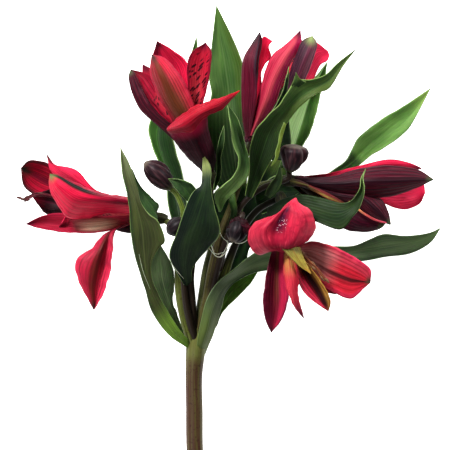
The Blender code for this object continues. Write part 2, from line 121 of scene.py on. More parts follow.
# The five petals of each bloom that show, as (bloom, number)
PETAL_SHEETS = {
    ("bloom_left", 0): Sheet(meeting(
        (50, 174, 41),
        ((140, 213, 29), (106, 214, 31), (82, 219, 31), (66, 216, 35), (53, 197, 38), (49, 184, 40)),
        ((140, 206, 34), (97, 203, 42), (75, 200, 45), (60, 188, 45), (53, 180, 43)),
        ((140, 202, 34), (97, 196, 44), (76, 189, 45), (60, 179, 44)),
        ((140, 199, 31), (126, 197, 33), (97, 191.5, 40), (76, 183, 42), (60, 175, 43))),
        ("lobe_low", "petal_face")),
    ("bloom_left", 1): Sheet(meeting(
        (21, 168, 20),
        ((140, 216, 25), (100, 209, 22), (70, 202, 18), (45, 198, 17), (31, 193, 18), (23, 183, 20)),
        ((140, 214, 25), (100, 200, 20), (70, 190, 14), (48, 182, 13), (33, 174, 15)),
        ((140, 212, 26), (100, 196, 25), (70, 178, 21), (47, 163, 19), (30, 160.5, 20))),
        ("petal_dim", "petal_back"), 0.6),
    ("bloom_left", 2): Sheet(meeting(
        (94, 310, 33),
        ((128, 225, 26), (115, 231.5, 31), (112.5, 250, 35), (110.5, 268, 35), (106, 286, 35),
         (100, 300, 34)),
        ((128, 224.5, 26), (112, 232, 32), (107, 250, 33), (103, 268, 32), (99, 286, 32), (96, 300, 32)),
        ((128, 224, 27), (110, 233, 32), (101, 250, 36), (95, 268, 36), (92, 286, 35), (93, 300, 34)),
        ((128, 223.5, 27), (108, 233, 31), (96, 249, 35), (86, 262, 36), (83, 275, 36), (87, 292, 35)),
        ((128, 223, 27), (106, 233, 30), (93, 247, 33), (80, 256, 34), (75, 268, 34), (82, 288, 34))),
        ("petal_drop", "petal_back"), 0.5),
    ("bloom_left", 3): Sheet(meeting(
        (46.5, 154, 28),
        ((138, 212, 29), (97, 199, 30), (70, 184, 29), (52, 172, 28)),
        ((138, 210, 29), (98, 195, 33), (73, 179, 34), (57, 168, 31)),
        ((138, 208, 30), (97, 191, 33), (77, 170.5, 34), (56, 165, 31), (49, 161, 29))),
        ("petal_pink", "petal_pale_back")),
    ("bloom_left", 4): Sheet(meeting(
        (25.5, 224, 19),
        ((138, 222, 22), (108, 231, 30), (83, 233, 29.5), (57, 231.5, 23), (38, 228, 19)),
        ((138, 219, 23), (108, 225, 29.5), (83, 227, 29), (60, 224, 21), (42, 223, 18)),
        ((138, 216, 25), (108, 216, 29), (83, 216, 29), (62, 213, 24), (42, 216, 20))),
        ("petal_cream", "petal_pale_back"), 0.4),
    ("bloom_top_left", 0): Sheet(meeting(
        (131, 69.5, 45),
        ((200, 160, 46), (172, 125, 50), (159, 114, 51), (148, 100, 50), (141, 86, 48), (135, 74, 47)),
        ((200, 165, 42), (171, 137, 46), (152, 120, 46), (140, 108, 46), (132, 91, 46), (129, 77, 45)),
        ((203, 150, 40), (178, 123, 42), (168, 108, 41), (160, 90, 41), (151, 77, 42), (143, 72.5, 43))),
        ("petal_deep", "petal_back"), 0.3),
    ("bloom_top_left", 1): Sheet(meeting(
        (157, 41, 38),
        ((203, 155, 39), (176, 105, 36), (160, 75, 37), (153, 58, 38), (155, 48, 39)),
        ((204, 155, 38), (185, 105, 33), (175, 78, 33), (167, 60, 35), (161, 49, 37)),
        ((205, 154, 39), (197, 105, 36), (190, 80, 37), (186, 61, 38), (170, 48.5, 39))),
        ("petal_split", "petal_back"), 0.3),
    ("bloom_top_left", 2): Sheet((
        ((168, 127, 58), (180, 116, 64), (195, 106, 67), (216, 99, 68), (229, 95, 67), (239.5, 90.5, 65)),
        ((167, 130, 60), (182, 124, 69), (200, 112, 72), (219, 103.5, 71), (239.5, 90.8, 65)),
        ((170, 133.5, 59), (184, 132.5, 66), (193, 131, 68), (206, 117, 70), (222, 109, 69),
         (239.5, 91, 65))),
        ("petal_red", "petal_back"), 0.5),
    ("bloom_top_left", 3): Sheet(meeting(
        (152, 54.5, 58),
        ((198, 150, 46), (175, 123, 51), (163, 105, 54), (154, 86, 56), (150, 70, 57)),
        ((200, 150, 47), (184, 118, 56), (172, 98, 60), (164, 80, 62), (158, 67, 61)),
        ((203, 148, 47), (196, 114, 52), (189, 91, 55), (179, 73, 57), (165, 58.5, 58))),
        ("petal_olive", "petal_pale_back"), 0.25),
    ("bloom_top_left", 4): Sheet(meeting(
        (205.5, 42.5, 51),
        ((203, 150, 44), (187, 108, 49), (188, 85, 51), (187, 66, 52), (192, 52, 52)),
        ((204, 150, 44), (196, 108, 47), (198, 85, 48), (199, 68, 49), (202, 54, 50)),
        ((206, 150, 45), (202, 110, 50), (207, 88, 52), (210, 70, 53), (211.5, 52, 53))),
        ("petal_flecked", "petal_pale_back"), 0.3),
    ("bloom_top", 0): Sheet(meeting(
        (260, 32, 39),
        ((250, 137, 37), (254, 115, 41), (257, 90, 44), (256, 63, 45), (259, 45, 42)),
        ((246, 139, 35), (242.5, 115, 38), (241.5, 85, 39), (243.5, 60, 40), (252, 44, 39)),
        ((250, 138, 33), (254, 110, 34), (257, 85, 35), (259, 60, 36), (262, 42, 37))),
        ("petal_dusk", "petal_dusk"), 0.2),
    ("bloom_top", 1): Sheet(meeting(
        (312.4, 36, 48),
        ((252, 136, 40), (275, 105, 44), (287, 80, 46), (294, 60, 48), (302, 41.5, 48)),
        ((253, 136, 42), (283, 105, 47), (296, 80, 50), (304, 60, 52), (310, 46, 51)),
        ((254, 136, 40), (290, 105, 44), (304, 82, 47), (312, 62, 48), (317, 45, 48))),
        ("petal_grey", "petal_pink"), 0.25),
    ("bloom_top", 2): Sheet((
        ((253, 137, 34), (280, 103, 32), (300, 70, 33), (311, 50, 34), (316, 42.5, 34), (328, 51, 33)),
        ((254, 137, 33), (288, 104, 30), (307, 78, 30), (317, 63, 31), (323, 56, 32), (329, 54, 33)),
        ((255, 138, 33), (295, 108, 31), (312, 82, 31), (319.5, 66, 32), (327, 61, 33), (329.5, 56, 33))),
        ("petal_lobe", "petal_back"), 0.4),
    ("bloom_top", 3): Sheet(meeting(
        (300.4, 30.5, 45),
        ((250, 136, 37), (257, 103, 40), (263, 79, 43), (271, 57, 45), (285, 45, 46)),
        ((251, 136, 38), (264, 105, 43), (273, 80, 46), (282, 62, 48), (291, 47, 48)),
        ((252, 136, 37), (273, 107, 40), (283, 82, 43), (291, 63, 45), (301, 45, 46))),
        ("petal_salmon", "petal_pale_back"), 0.3),
    ("bloom_top", 4): Sheet((
        ((250, 137, 31), (250, 105, 30), (252, 80, 29), (256, 58, 29), (260, 42, 29), (264, 36, 29)),
        ((251, 137, 30), (256, 105, 28), (258, 80, 27), (263, 58, 27), (266, 45, 28), (268, 38, 28.5)),
        ((252, 137, 31), (262, 103, 30), (261.5, 82, 30), (260.5, 74, 30), (264, 65, 30), (271, 57, 30),
         (268.5, 47, 30), (272.5, 41, 29))),
        ("petal_plain", "petal_back"), 0.2),
    ("bloom_right", 0): Sheet((
        ((296, 177, 32), (330, 173, 33), (360, 165.5, 34), (388, 159.5, 35), (408, 162.5, 34),
         (421.5, 168, 33)),
        ((296, 179, 31), (330, 177, 32), (360, 170, 34), (388, 165, 35), (408, 166, 34),
         (421.5, 168.3, 33)),
        ((296, 181, 31), (330, 182, 31), (360, 178, 31), (388, 174, 31), (408, 172, 32),
         (421.5, 168.6, 33))),
        ("petal_pink", "petal_back"), 0.2),
    ("bloom_right", 1): Sheet(meeting(
        (433.6, 179.5, 42),
        ((296, 178, 35), (330, 176.5, 39), (362, 168, 42), (390, 165.5, 43), (417, 169.5, 43)),
        ((297, 181, 36), (330, 184, 42), (362, 182, 47), (390, 181, 48), (415, 180, 46)),
        ((296, 184, 35), (330, 193, 39), (362, 198, 42), (390, 196.5, 43), (415, 188.5, 43))),
        ("petal_back", "petal_face"), 0.2),
    ("bloom_right", 2): Sheet((
        ((300, 184, 33), (335, 196, 34), (359, 204, 36), (372, 213, 38), (386, 223, 37)),
        ((300, 186, 34), (330, 203, 36), (350, 217, 39), (365, 224, 39), (383, 226.5, 37)),
        ((300, 188, 33), (325, 208, 34), (342, 227.5, 36), (362, 232, 36), (376, 230, 36),
         (382, 227.5, 37))),
        ("petal_banded", "petal_face"), 0.2),
    ("bloom_right", 3): Sheet((
        ((296, 181, 32), (330, 186, 31), (362, 186, 30), (390, 184, 30), (412, 183, 30), (424.5, 185, 31)),
        ((296, 182, 31), (330, 190, 29), (362, 194, 28), (390, 197, 27), (412, 196, 28), (424.8, 190, 31)),
        ((297, 183, 32), (330, 194, 31), (360, 200, 30), (383, 203, 30), (403, 209.5, 30), (419, 204, 31),
         (425, 193, 32))),
        ("petal_lobe", "petal_back"), 0.4),
    ("bloom_right", 4): Sheet((
        ((300, 184, 37), (335, 190, 39), (368, 193, 41), (382, 200, 41), (388.5, 213, 40),
         (390.6, 224, 39)),
        ((300, 185, 38), (335, 194, 41), (362, 199, 44), (374, 208, 44), (384, 218, 42), (390.6, 224, 39)),
        ((300, 186, 37), (335, 198, 39), (357, 205, 41), (366, 213, 41), (379, 220.5, 40),
         (390.2, 224.6, 39))),
        ("petal_back", "petal_face"), 0.2),
    ("bloom_low_right", 0): Sheet((
        ((274, 250, 49), (258, 254.5, 52), (247.8, 240, 54), (255, 222, 56), (274, 216, 57), (287, 204, 58),
         (295, 198, 58)),
        ((278, 251, 52), (267, 247, 59), (262, 232, 62), (272, 219, 62), (286, 207, 60), (295.3, 198, 58)),
        ((282, 252, 51), (278, 246, 58), (278, 232, 59), (283, 217, 60), (289, 206, 60), (295.6, 198, 58)),
        ((287, 252, 52), (292, 246, 60), (297, 231, 63), (299, 216, 63), (295, 206, 61), (296, 198, 58)),
        ((291, 251, 49), (304, 243.5, 53), (315, 230, 55), (311.5, 212, 57), (299, 203, 58),
         (296.5, 198.2, 58))),
        ("petal_cap", "petal_back"), 0.3, 0.06),
    ("bloom_low_right", 1): Sheet((
        ((284, 250, 46), (284, 268, 48), (287, 285, 50), (288.5, 298, 50), (281.5, 320, 48),
         (271.5, 332, 46)),
        ((278, 250, 45), (277, 268, 46), (277, 285, 46), (277, 300, 46), (275, 320, 46),
         (271.3, 332.5, 46)),
        ((272, 250, 46), (267.5, 268, 49), (264.5, 288, 50), (263.2, 305, 50), (266, 321, 48),
         (271, 332.5, 46))),
        ("petal_shade", "petal_back"), 0.3),
    ("bloom_low_right", 2): Sheet((
        ((296, 247, 44), (312, 241.5, 47), (332, 246, 49), (350, 254.5, 49), (369.5, 268, 47),
         (370.5, 281, 45)),
        ((297, 251, 42), (311, 256, 44), (328, 264, 46), (348, 272, 47), (362, 278, 46), (370.3, 282, 45)),
        ((298, 255, 42), (309, 268, 43), (321, 284, 43), (336, 293.5, 44), (351, 298.8, 44), (363, 289, 44),
         (370, 283, 45))),
        ("petal_right", "petal_back"), 0.5),
    ("bloom_low_right", 3): Sheet(meeting(
        (303.8, 318, 52),
        ((292, 250, 48), (296.5, 267, 52), (298.5, 280, 54), (298, 295, 54), (301, 307, 53)),
        ((288, 250, 49), (290, 267, 56), (291.5, 280, 58), (293.5, 295, 57), (298, 308, 55)),
        ((284, 250, 48), (283, 267, 52), (284.5, 280, 54), (289, 295, 54), (296, 309, 53))),
        ("petal_dawn", "petal_pale_back"), 0.3),
    ("bloom_low_right", 4): Sheet((
        ((296, 250, 47), (307, 263, 51), (316.5, 275, 53), (325, 288, 53), (330.5, 301, 52),
         (328.7, 311, 50)),
        ((293, 250, 45), (301, 265, 47), (309, 279, 48), (317, 291, 49), (323, 302, 50), (328.5, 311, 50)),
        ((290, 250, 47), (295, 266, 50), (298.5, 282, 52), (307, 295.5, 52), (320, 306, 51),
         (328, 311, 50))),
        ("petal_gold", "petal_pale_back"), 0.2),
}

# The leaves and bracts. A leaf's place in this table is the seed of its frill.
LEAVES = {
    "leaf_left": Sheet(meeting(
        (120.5, 147.5, 40),
        ((196, 355, 19), (186, 347, 25), (168, 334, 31), (152, 312, 36), (145, 288, 39), (137, 264, 42),
         (131, 235, 45), (129, 205, 46), (123, 178, 44), (121, 160, 42)),
        ((196, 353, 19), (187, 343, 26), (172, 328, 33), (156, 300, 38), (147, 275, 42), (144, 250, 44),
         (142, 228, 45), (136, 203, 45), (129, 180, 43), (124, 163, 41)),
        ((196, 350, 19), (188.5, 340, 26), (180, 330, 32), (166, 308, 37), (154, 285, 41), (151, 264, 43),
         (159, 248, 45), (165, 240, 46), (158, 221, 47), (149, 214, 47), (141, 203, 46), (137, 186, 44),
         (129, 163, 41.5))),
        ("leaf_olive", "leaf_under"), 0.5, 0.12, 13),
    "leaf_left_low": Sheet(meeting(
        (161, 245.5, 22),
        ((188, 341, 22), (173, 328, 22), (158, 307, 22), (149, 286, 22), (146, 268, 22), (152, 254, 22)),
        ((188, 338, 22), (178, 322, 21), (169, 302, 20), (163, 282, 20), (161, 266, 20)),
        ((188, 335, 22), (181, 325, 22), (176.5, 313, 22), (172.5, 300, 22), (174.5, 280, 22),
         (171, 263, 22))),
        ("leaf_grey", "leaf_under"), 0.3, 0.2, 9),
    "leaf_back_left": Sheet(meeting(
        (196.5, 37, 7),
        ((183, 246, 21), (169, 210, 18), (166, 180, 15), (158, 160, 14), (151, 143, 13), (149.5, 125, 12),
         (160, 100, 10), (181, 74, 9), (189, 59.5, 8), (193, 48, 7.5)),
        ((185, 246, 20), (178, 210, 15), (172, 180, 11), (162, 155, 9), (159, 130, 8), (169, 100, 7),
         (185, 74, 6.5), (193, 55, 6.5)),
        ((187, 246, 21), (187, 210, 18), (184, 180, 15), (176, 153, 14), (172.5, 130, 13), (177, 100, 10),
         (189, 68, 9), (197, 50, 8))),
        ("leaf_halved", "leaf_under"), 0.4, 0.15, 9),
    "leaf_top": Sheet(meeting(
        (216.5, 5, 9),
        ((228, 200, 24), (216, 182, 21), (208, 158, 18), (206, 135, 15), (207, 112, 13.5), (211.5, 95, 13),
         (209, 74, 12), (212.5, 38, 10)),
        ((238, 189, 22), (235, 158, 16), (231, 128, 12), (229, 95, 9.5), (225, 65, 9), (220, 35, 8.5)),
        ((240, 189, 23), (246, 158, 19), (245, 128, 15), (244, 95, 13), (243, 66, 12), (232, 37, 10))),
        ("leaf_mid", "leaf_under"), 0.3, 0.05, 15),
    "leaf_centre": Sheet(meeting(
        (227.5, 105, 54),
        ((219, 212, 46), (214.5, 197, 50), (222, 186.5, 53), (235, 174, 55), (238.5, 160, 57),
         (233, 143, 58), (230.5, 125, 57)),
        ((220, 212, 45), (220, 198, 49), (230, 186, 51), (241, 172, 53), (243, 155, 54), (238, 137, 54),
         (234, 122, 54)),
        ((221, 211, 45), (226, 201, 48), (236, 191, 50), (247, 178, 52), (249.5, 163, 54), (245.5, 145, 55),
         (238, 119, 55))),
        ("leaf_curl", "leaf_under"), 0.3, 0.12, 7),
    "leaf_front": Sheet(meeting(
        (203, 154, 50),
        ((184, 285, 34), (171, 262, 41), (170, 250, 45), (176, 235, 50), (181, 220, 54), (187, 203, 56),
         (193, 192, 57), (201, 185, 56), (202.5, 168, 53)),
        ((188, 285, 33), (186, 262, 42), (190, 240, 50), (197, 220, 55), (203, 200, 57), (206, 185, 57),
         (206.5, 168, 54)),
        ((192, 281, 34), (193, 267, 40), (207, 250, 46), (219, 236, 51), (219.5, 224, 55), (213.5, 203, 58),
         (211, 185, 58), (210.5, 167, 55))),
        ("leaf_fold", "leaf_under"), 0.4, 0.15, 9),
    "leaf_right_front": Sheet(meeting(
        (365.5, 169, 57),
        ((268, 208, 35), (283, 199, 43), (301, 194.5, 50), (322, 198, 54), (342, 203, 57), (353, 199, 59),
         (359.5, 188, 60), (361, 178, 59)),
        ((267, 213, 34), (283, 205, 42), (299, 205, 50), (318, 210, 54), (338, 214, 57), (353, 207, 58),
         (361, 193, 58.5), (362.5, 180, 58)),
        ((266, 219, 34), (282, 212, 43), (296, 214, 50), (316, 221.5, 54), (340, 229.5, 57), (352, 218, 59),
         (360.5, 206, 60), (364.5, 189, 60), (363, 178, 59))),
        ("leaf_reach", "leaf_under"), 0.3, 0.12, 9),
    "leaf_cross": Sheet(meeting(
        (355.5, 49.5, 51),
        ((245, 196, 42), (249, 172, 46), (250, 150, 50), (255, 131, 53), (267, 117, 56), (279, 105, 58),
         (286, 94, 59), (296, 81, 59), (312, 79.5, 58), (326, 74, 56), (340, 61, 54)),
        ((248, 197, 40), (256, 172, 43), (263, 150, 47), (270, 131, 50), (281, 114, 53), (296, 98, 55),
         (315, 86, 55), (328, 80, 54), (341, 65, 53)),
        ((252, 198, 42), (265, 172, 46), (276, 151, 49), (281, 135, 51), (290, 119, 53), (302, 105, 55),
         (318, 93, 56), (330, 87.5, 55), (344, 65, 53))),
        ("leaf_crossing", "leaf_under"), 0.3, 0.12, 11),
    "leaf_behind_bloom": Blade(
        ((18, 32, 29), (22, 49, 24), (26, 61, 17), (29, 71, 14)), 3.5, roll=(20, 20), cup=(40, 40)),
    "leaf_back_right": Sheet(meeting(
        (327.5, 61.5, 8),
        ((279, 168, 22), (284, 150, 18), (286, 128, 16), (295, 108, 14), (310, 84, 11)),
        ((281, 168, 20), (294, 148, 15), (302, 125, 11), (309, 102, 9), (318, 80, 8)),
        ((283, 168, 22), (303, 145, 17), (313, 124, 14), (319, 100, 12), (325, 78, 10))),
        ("leaf_pale", "leaf_under"), 0.3, 0.2, 11),
    "leaf_right": Sheet(meeting(
        (430.5, 88, 0.6),
        ((294, 196, 23), (323, 177, 19), (346, 160, 16), (359, 137.5, 13), (380, 120.5, 9),
         (400, 108.3, 6.5), (416, 98, 3.5)),
        ((296, 198, 22), (327, 179, 17), (350, 164, 12), (366, 150, 9), (384, 135, 6), (404, 119, 3.5),
         (419, 104, 1.8)),
        ((298, 200, 22), (335, 183, 18), (356, 168, 14), (372, 154.5, 12), (393, 142, 9), (408, 129, 6),
         (419, 111, 3))),
        ("leaf_bright", "leaf_under"), 0.3, 0.1, 13),
    "leaf_low_right": Sheet(meeting(
        (440.6, 228, 3),
        ((196, 356, 20), (197, 346, 26), (199, 330, 31), (203, 312, 33.5), (207, 299, 33.5),
         (215, 285, 31.5), (230, 272, 30), (248, 258, 27), (262, 250, 25), (290, 247, 22), (330, 246.5, 18),
         (352, 246, 15), (368, 240, 13), (384, 234, 10), (405, 236, 8), (428, 233, 5)),
        ((200, 356, 21), (203, 344, 27.5), (207, 330, 32), (212, 310, 32.5), (221, 290, 29), (236, 277, 25),
         (256, 267, 23), (289, 260, 20), (336, 254, 15), (365, 250, 12), (400, 245, 8), (424, 239, 5)),
        ((205, 354, 19), (209, 344, 23), (213, 334, 26), (218, 318, 27), (222, 305, 27), (226, 293, 26),
         (236, 281.5, 24), (258, 271.5, 22), (290, 268, 19), (335, 262, 15), (362, 261, 13), (385, 257, 10),
         (410, 253.5, 7), (430, 243, 4.5))),
        ("leaf_band", "leaf_under"), 0.4, 0.12, 9),
    "leaf_low_back": Sheet((
        ((206, 340, 18), (212, 320, 17), (218, 300, 17), (226, 283, 16), (240, 272, 15), (257, 268, 14)),
        ((208, 340, 17), (216, 320, 16), (224, 303, 15), (235, 289, 14), (247, 279, 14), (257.5, 270, 14)),
        ((209, 339, 18), (217, 325, 17), (223, 311.5, 16), (236, 298.5, 15), (250, 284, 15),
         (258, 271.5, 14))),
        ("leaf_fresh", "leaf_under"), 0.2, 0.12, 9),
    "leaf_inner_right": Sheet((
        ((214, 300, 14), (225, 277, 13), (232, 260, 12), (239, 243, 11), (239, 225, 10), (240, 205, 10),
         (248, 190, 9), (262, 170, 9), (284, 150, 8)),
        ((216, 300, 13), (229, 277, 12), (239, 262, 11), (246, 243, 10), (254, 222, 9), (262, 202, 8.5),
         (270, 187, 8.5), (277, 170, 8.5), (284, 150, 8)),
        ((217, 300, 14), (233, 277, 13), (245, 264, 12), (250, 247, 12), (266, 228, 11), (282, 212, 10),
         (289, 195, 10), (292, 175, 9), (285, 150, 8))),
        ("leaf_shaded", "leaf_under"), 0.3, 0.2, 9),
    "bract_bud_left": Sheet(meeting(
        (168, 178.5, 47),
        ((190, 204, 46), (182, 196, 48), (175, 188, 48.5)),
        ((193, 200, 46), (186, 190, 47.5), (177, 182, 47.5)),
        ((197, 190, 47), (191, 183.5, 49), (180, 179.5, 49))),
        ("leaf_dark", "leaf_under"), 0.2, 0.1, 5),
    "bract_centre": Sheet(meeting(
        (224, 125, 47),
        ((213, 190, 45), (216.5, 172, 47), (216.5, 155, 48), (219, 140, 48)),
        ((214, 190, 44), (219, 172, 46), (219.5, 155, 47), (221.5, 140, 47)),
        ((215, 190, 45), (221, 175, 47), (221, 158, 48), (224.5, 140, 48))),
        ("leaf_dark", "leaf_under"), 0.2, 0.1, 5),
    "bract_right": Blade(
        ((19, 13, 41), (24, 20, 45), (25, 27, 46)), 2.8, roll=(0, 20), cup=(70, 60),
        outline=BRACT_OUTLINE, finish=("leaf_in_shadow", "leaf_in_shadow")),
}

# Folds, margins and throats that are part of a leaf, petal or bud, and dark sheets of painted shade laid in shaded
# gaps, as (the node they stand for, the sheet)
FOLDS_AND_SHADE_SHEETS = {
    "leaf_left_wing": ("leaf_left", Sheet((
        ((158, 220, 46), (149, 214, 46), (141, 203, 45), (137, 187, 43.5), (131, 169, 41)),
        ((157, 216, 44), (152, 207, 43), (145, 198, 42.5), (139, 186, 42), (131.5, 169, 41)),
        ((155, 216, 42), (159, 206, 41), (155, 201, 40.5), (146, 192, 40.5), (139, 184, 41),
         (132, 169, 41))),
        ("leaf_dark", "leaf_under"), 0.1, 0.1, 5)),
    "leaf_centre_low": ("leaf_centre", Sheet((
        ((207, 243, 30), (206, 224, 33), (208, 202, 35), (224, 184, 36), (244, 176, 36)),
        ((226, 243, 28), (228, 224, 30), (231, 205, 32), (238, 192, 33), (245, 176, 36)),
        ((236, 243, 30), (241, 224, 31), (243, 208, 32), (246, 195, 33), (247, 176, 36))),
        ("leaf_shaded", "leaf_under"), 0.3, 0.2, 7)),
    "bud_centre_husk": ("bud_centre", Sheet((
        ((226, 229, 46), (234, 217.5, 48), (245, 219.5, 49.5), (254, 230, 48)),
        ((228, 233, 47), (237, 225, 50), (246, 227, 50.5), (254, 230.3, 48)),
        ((231, 240, 46), (240, 235, 49), (248, 235, 49.5), (254, 230.6, 48))),
        ("petal_throat", "petal_throat"), 0.9, 0.25)),
    "leaf_centre_blade": ("leaf_centre", Sheet((
        ((230, 220, 40), (231, 210, 41), (229, 200, 41), (233, 190, 40)),
        ((233, 220, 40), (234, 210, 41.5), (232.5, 200, 42), (233.5, 190, 40)),
        ((236, 220, 40), (237, 211, 41), (236, 200, 41), (234, 190, 40))),
        ("leaf_mid", "leaf_under"), 0.2, 0.1, 5)),
    # painted shade: a near-black sheet for the shaded triangle at the foot of the pale back leaf
    "leaf_back_shade": ("leaf_behind_bloom", Sheet((
        ((262, 160, 27), (262, 140, 24), (268, 120, 20), (280, 105, 17)),
        ((272, 160, 26), (276, 140, 22), (281, 122, 18), (284, 105, 16)),
        ((284, 160, 27), (291, 146, 24), (290, 128, 20), (286, 105, 17))),
        ("leaf_shaded", "leaf_under"), 0.3, 0.2, 7)),
    # painted shade: a near-black leaf sheet that fills the shaded gap between the right and low right blooms
    "leaf_right_front_shade": ("leaf_right_front", Sheet((
        ((255, 190, 26), (275, 176, 25), (293, 178, 25), (312, 186, 26)),
        ((256, 202, 24), (276, 192, 22), (295, 192, 22), (312, 190, 24)),
        ((262, 214, 26), (280, 208, 25), (299, 204, 25), (313, 194, 26))),
        ("leaf_shaded", "leaf_under"), 0.3, 0.2, 7)),
    "leaf_cross_margin": ("leaf_cross", Sheet((
        ((284, 122, 54), (279.5, 134, 52.5), (278.5, 142, 52), (275.5, 152, 51), (275, 158, 50),
         (271, 166, 48)),
        ((285, 123, 53.5), (281, 135, 52), (279.5, 143, 51.5), (277, 152, 50.5), (276, 159, 49.5),
         (271, 166, 48)),
        ((286, 124, 53), (283, 135, 51.5), (280.5, 145, 51), (279.5, 152, 50), (277, 160, 49),
         (271.5, 166.5, 48))),
        ("leaf_lime", "leaf_lime"), 0.1, 0.05, 3)),
    "bloom_left_throat": ("bloom_left", Sheet((
        ((72, 200, 22), (58, 191, 21), (47, 190, 20), (33, 197, 20)),
        ((72, 208, 19), (58, 204, 17), (47, 202, 17), (33, 197.3, 20)),
        ((72, 218, 22), (58, 217, 21), (45, 213, 20), (33, 197.6, 20))),
        ("petal_throat", "petal_throat"), 0.3)),
    "bloom_left_foot": ("bloom_left", Sheet((
        ((134, 233, 23), (128, 233, 23), (119, 231, 22), (111, 227, 21)),
        ((134, 228, 24), (128, 228, 24), (119, 227, 23), (111, 226, 21)),
        ((134, 222, 23), (128, 222, 23), (119, 223, 22), (111, 225, 21))),
        ("petal_tube", "petal_tube"), 0.1)),
    "bloom_right_tube": ("bloom_right", Sheet((
        ((292, 180, 31), (318, 184, 31), (340, 190, 31), (358, 199, 32), (370, 210, 33)),
        ((292, 183, 30), (315, 192, 29), (335, 202, 29), (352, 211, 30), (368, 216, 33)),
        ((292, 186, 31), (308, 199, 31), (325, 212, 31), (343, 222, 32), (366, 222, 33))),
        ("petal_stripe", "petal_back"), 0.2)),
    "bloom_right_lip": ("bloom_right", Sheet((
        ((349, 201, 42.5), (358, 208.2, 43), (366, 213.8, 42.5), (376, 219.2, 42), (386.5, 222.3, 40.5)),
        ((349, 201.5, 42.7), (357.6, 208.9, 43.3), (365.7, 214.6, 42.8), (375.8, 220, 42.3),
         (386.5, 222.8, 40.5)),
        ((349, 202, 42.5), (357.2, 209.6, 43), (365.4, 215.4, 42.5), (375.6, 220.8, 42),
         (386.5, 223.3, 40.5))),
        ("petal_lip", "petal_lip"), 0.1)),
    "bloom_right_stripe": ("bloom_right", Sheet((
        ((306, 184, 38), (318, 188.5, 41), (331, 194.5, 43), (345, 203, 43.5)),
        ((306, 185.3, 38.5), (317, 190.5, 41.4), (330, 197, 43.3), (345, 203.5, 43.5)),
        ((306, 186.6, 38), (316, 192.5, 41), (329, 199.5, 43), (345, 204, 43.5))),
        ("petal_streak", "petal_streak"), 0.1)),
    "bloom_right_root": ("bloom_right", Sheet((
        ((290, 178.5, 35.5), (297, 179.5, 37), (304, 182, 38), (311, 186, 39)),
        ((290, 181, 36.5), (297, 182.5, 38), (304, 184.5, 39), (311, 186.4, 39)),
        ((290, 183.5, 35.5), (297, 185.5, 37), (304, 187, 38), (311, 186.8, 39))),
        ("petal_root", "petal_root"), 0.1)),
    "bloom_low_right_throat": ("bloom_low_right", Sheet((
        ((300, 247, 56), (303, 256, 57), (307, 264, 57.5), (311, 273, 57.5)),
        ((291, 247, 58), (297, 257, 58.5), (303, 266, 58), (311, 273.5, 57.5)),
        ((281, 248, 56.5), (290, 257, 58), (299, 266, 58), (311, 274, 57.5))),
        ("petal_lime", "petal_lime"), 0.3)),
    "leaf_cross_spike": ("leaf_cross", Sheet(meeting(
        (296, 72.5, 60),
        ((288, 92, 58.5), (293, 82, 59.5)),
        ((294, 90, 57), (296, 82, 59)),
        ((306, 82, 58), (300, 78.5, 59))),
        ("leaf_crossing", "leaf_under"), 0.1, 0.05, 3)),
    "leaf_cross_side": ("leaf_cross", Sheet(meeting(
        (289, 66.5, 52),
        ((258, 132, 42), (271, 113, 48), (281.5, 94, 52), (286, 78, 53)),
        ((264, 132, 40), (277, 113, 46), (284, 94, 50.5), (287, 78, 52)),
        ((270, 132, 40), (284, 112, 47), (286.5, 95, 51), (288.5, 79, 52))),
        ("leaf_shaded", "leaf_under"), 0.1, 0.1, 5)),
    "bloom_top_left_funnel": ("bloom_top_left", Sheet((
        ((203, 171, 42), (190, 160, 46), (178, 146, 50), (169.5, 133, 53)),
        ((208, 172, 44), (203, 155, 52), (196, 140, 57), (190, 129, 61)),
        ((213, 172, 42), (216, 158, 46), (213, 145, 50), (208.5, 130, 54), (207, 115, 60))),
        ("petal_tube", "petal_face"), 0.2)),
    "bloom_left_hook": ("bloom_left", Sheet((
        ((57.5, 229, 20), (62, 222, 25), (67.5, 213, 28)),
        ((60, 227, 22), (64, 220, 27), (67, 214, 28)),
        ((64, 226, 21), (67, 219, 26), (68, 214, 28))),
        ("petal_pink", "petal_face"), 0.1)),
}

# The stem and its rays, from the cut end upwards
STEM = (
    (-9, -151, 3.7), (-12, -125, 8), (-13.6, -101, 13), (-13.8, -83, 16.5), (-14, -68, 19.5),
    (-13, -53, 22.5), (-12.6, -46, 24.5))
RAYS = {
    "bloom_left": ((-14, -55, 23), (-18, -42, 26), (-20.5, -28, 29), (-21, -14, 30), (-20.5, -3, 29.5)),
    "bloom_top_left": ((-14, -54, 23), (-15.5, -34, 27), (-16, -22, 30), (-12.5, -6, 32), (-8, 6, 33)),
    "bloom_top": ((-12, -54, 23), (-8, -34, 27), (-5, -17, 30), (-2, -4, 32), (3, 9, 33), (7, 21, 33.5)),
    "bloom_right": ((-13, -54, 22), (-9.8, -32, 24), (-7.2, -17, 26), (-3, -4, 27), (5, 9, 29), (14, 17, 31)),
    "bloom_low_right": ((-11, -54, 22), (-3, -30, 25), (2.5, -14, 27), (8, -2, 28), (15, 7, 29)),
    "bud_left": ((-13, -53, 24), (-17.5, -36, 30), (-19, -16, 34), (-19, 0, 37), (-19, 7, 39)),
    "bud_right": ((-11, -53, 23), (-6, -30, 29), (0, -8, 34), (7.3, 8.5, 36), (16.5, 16.5, 37)),
    "bud_centre": ((-3, -20, 29), (0, -9, 33), (5, 2, 35)),
    "bud_low_left": ((-19.3, -14, 33), (-16, -8, 37), (-12.5, -2, 41)),
}
RAY_FINISH = {
    "bloom_left": "stem_moss", "bloom_top_left": "stem_dark", "bloom_top": "stem_olive", "bloom_right": "stem_green",
    "bloom_low_right": "stem_shaded", "bud_left": "stem_lime", "bud_right": "stem_dark", "bud_centre": "stem_dark",
    "bud_low_left": "stem_brown"}

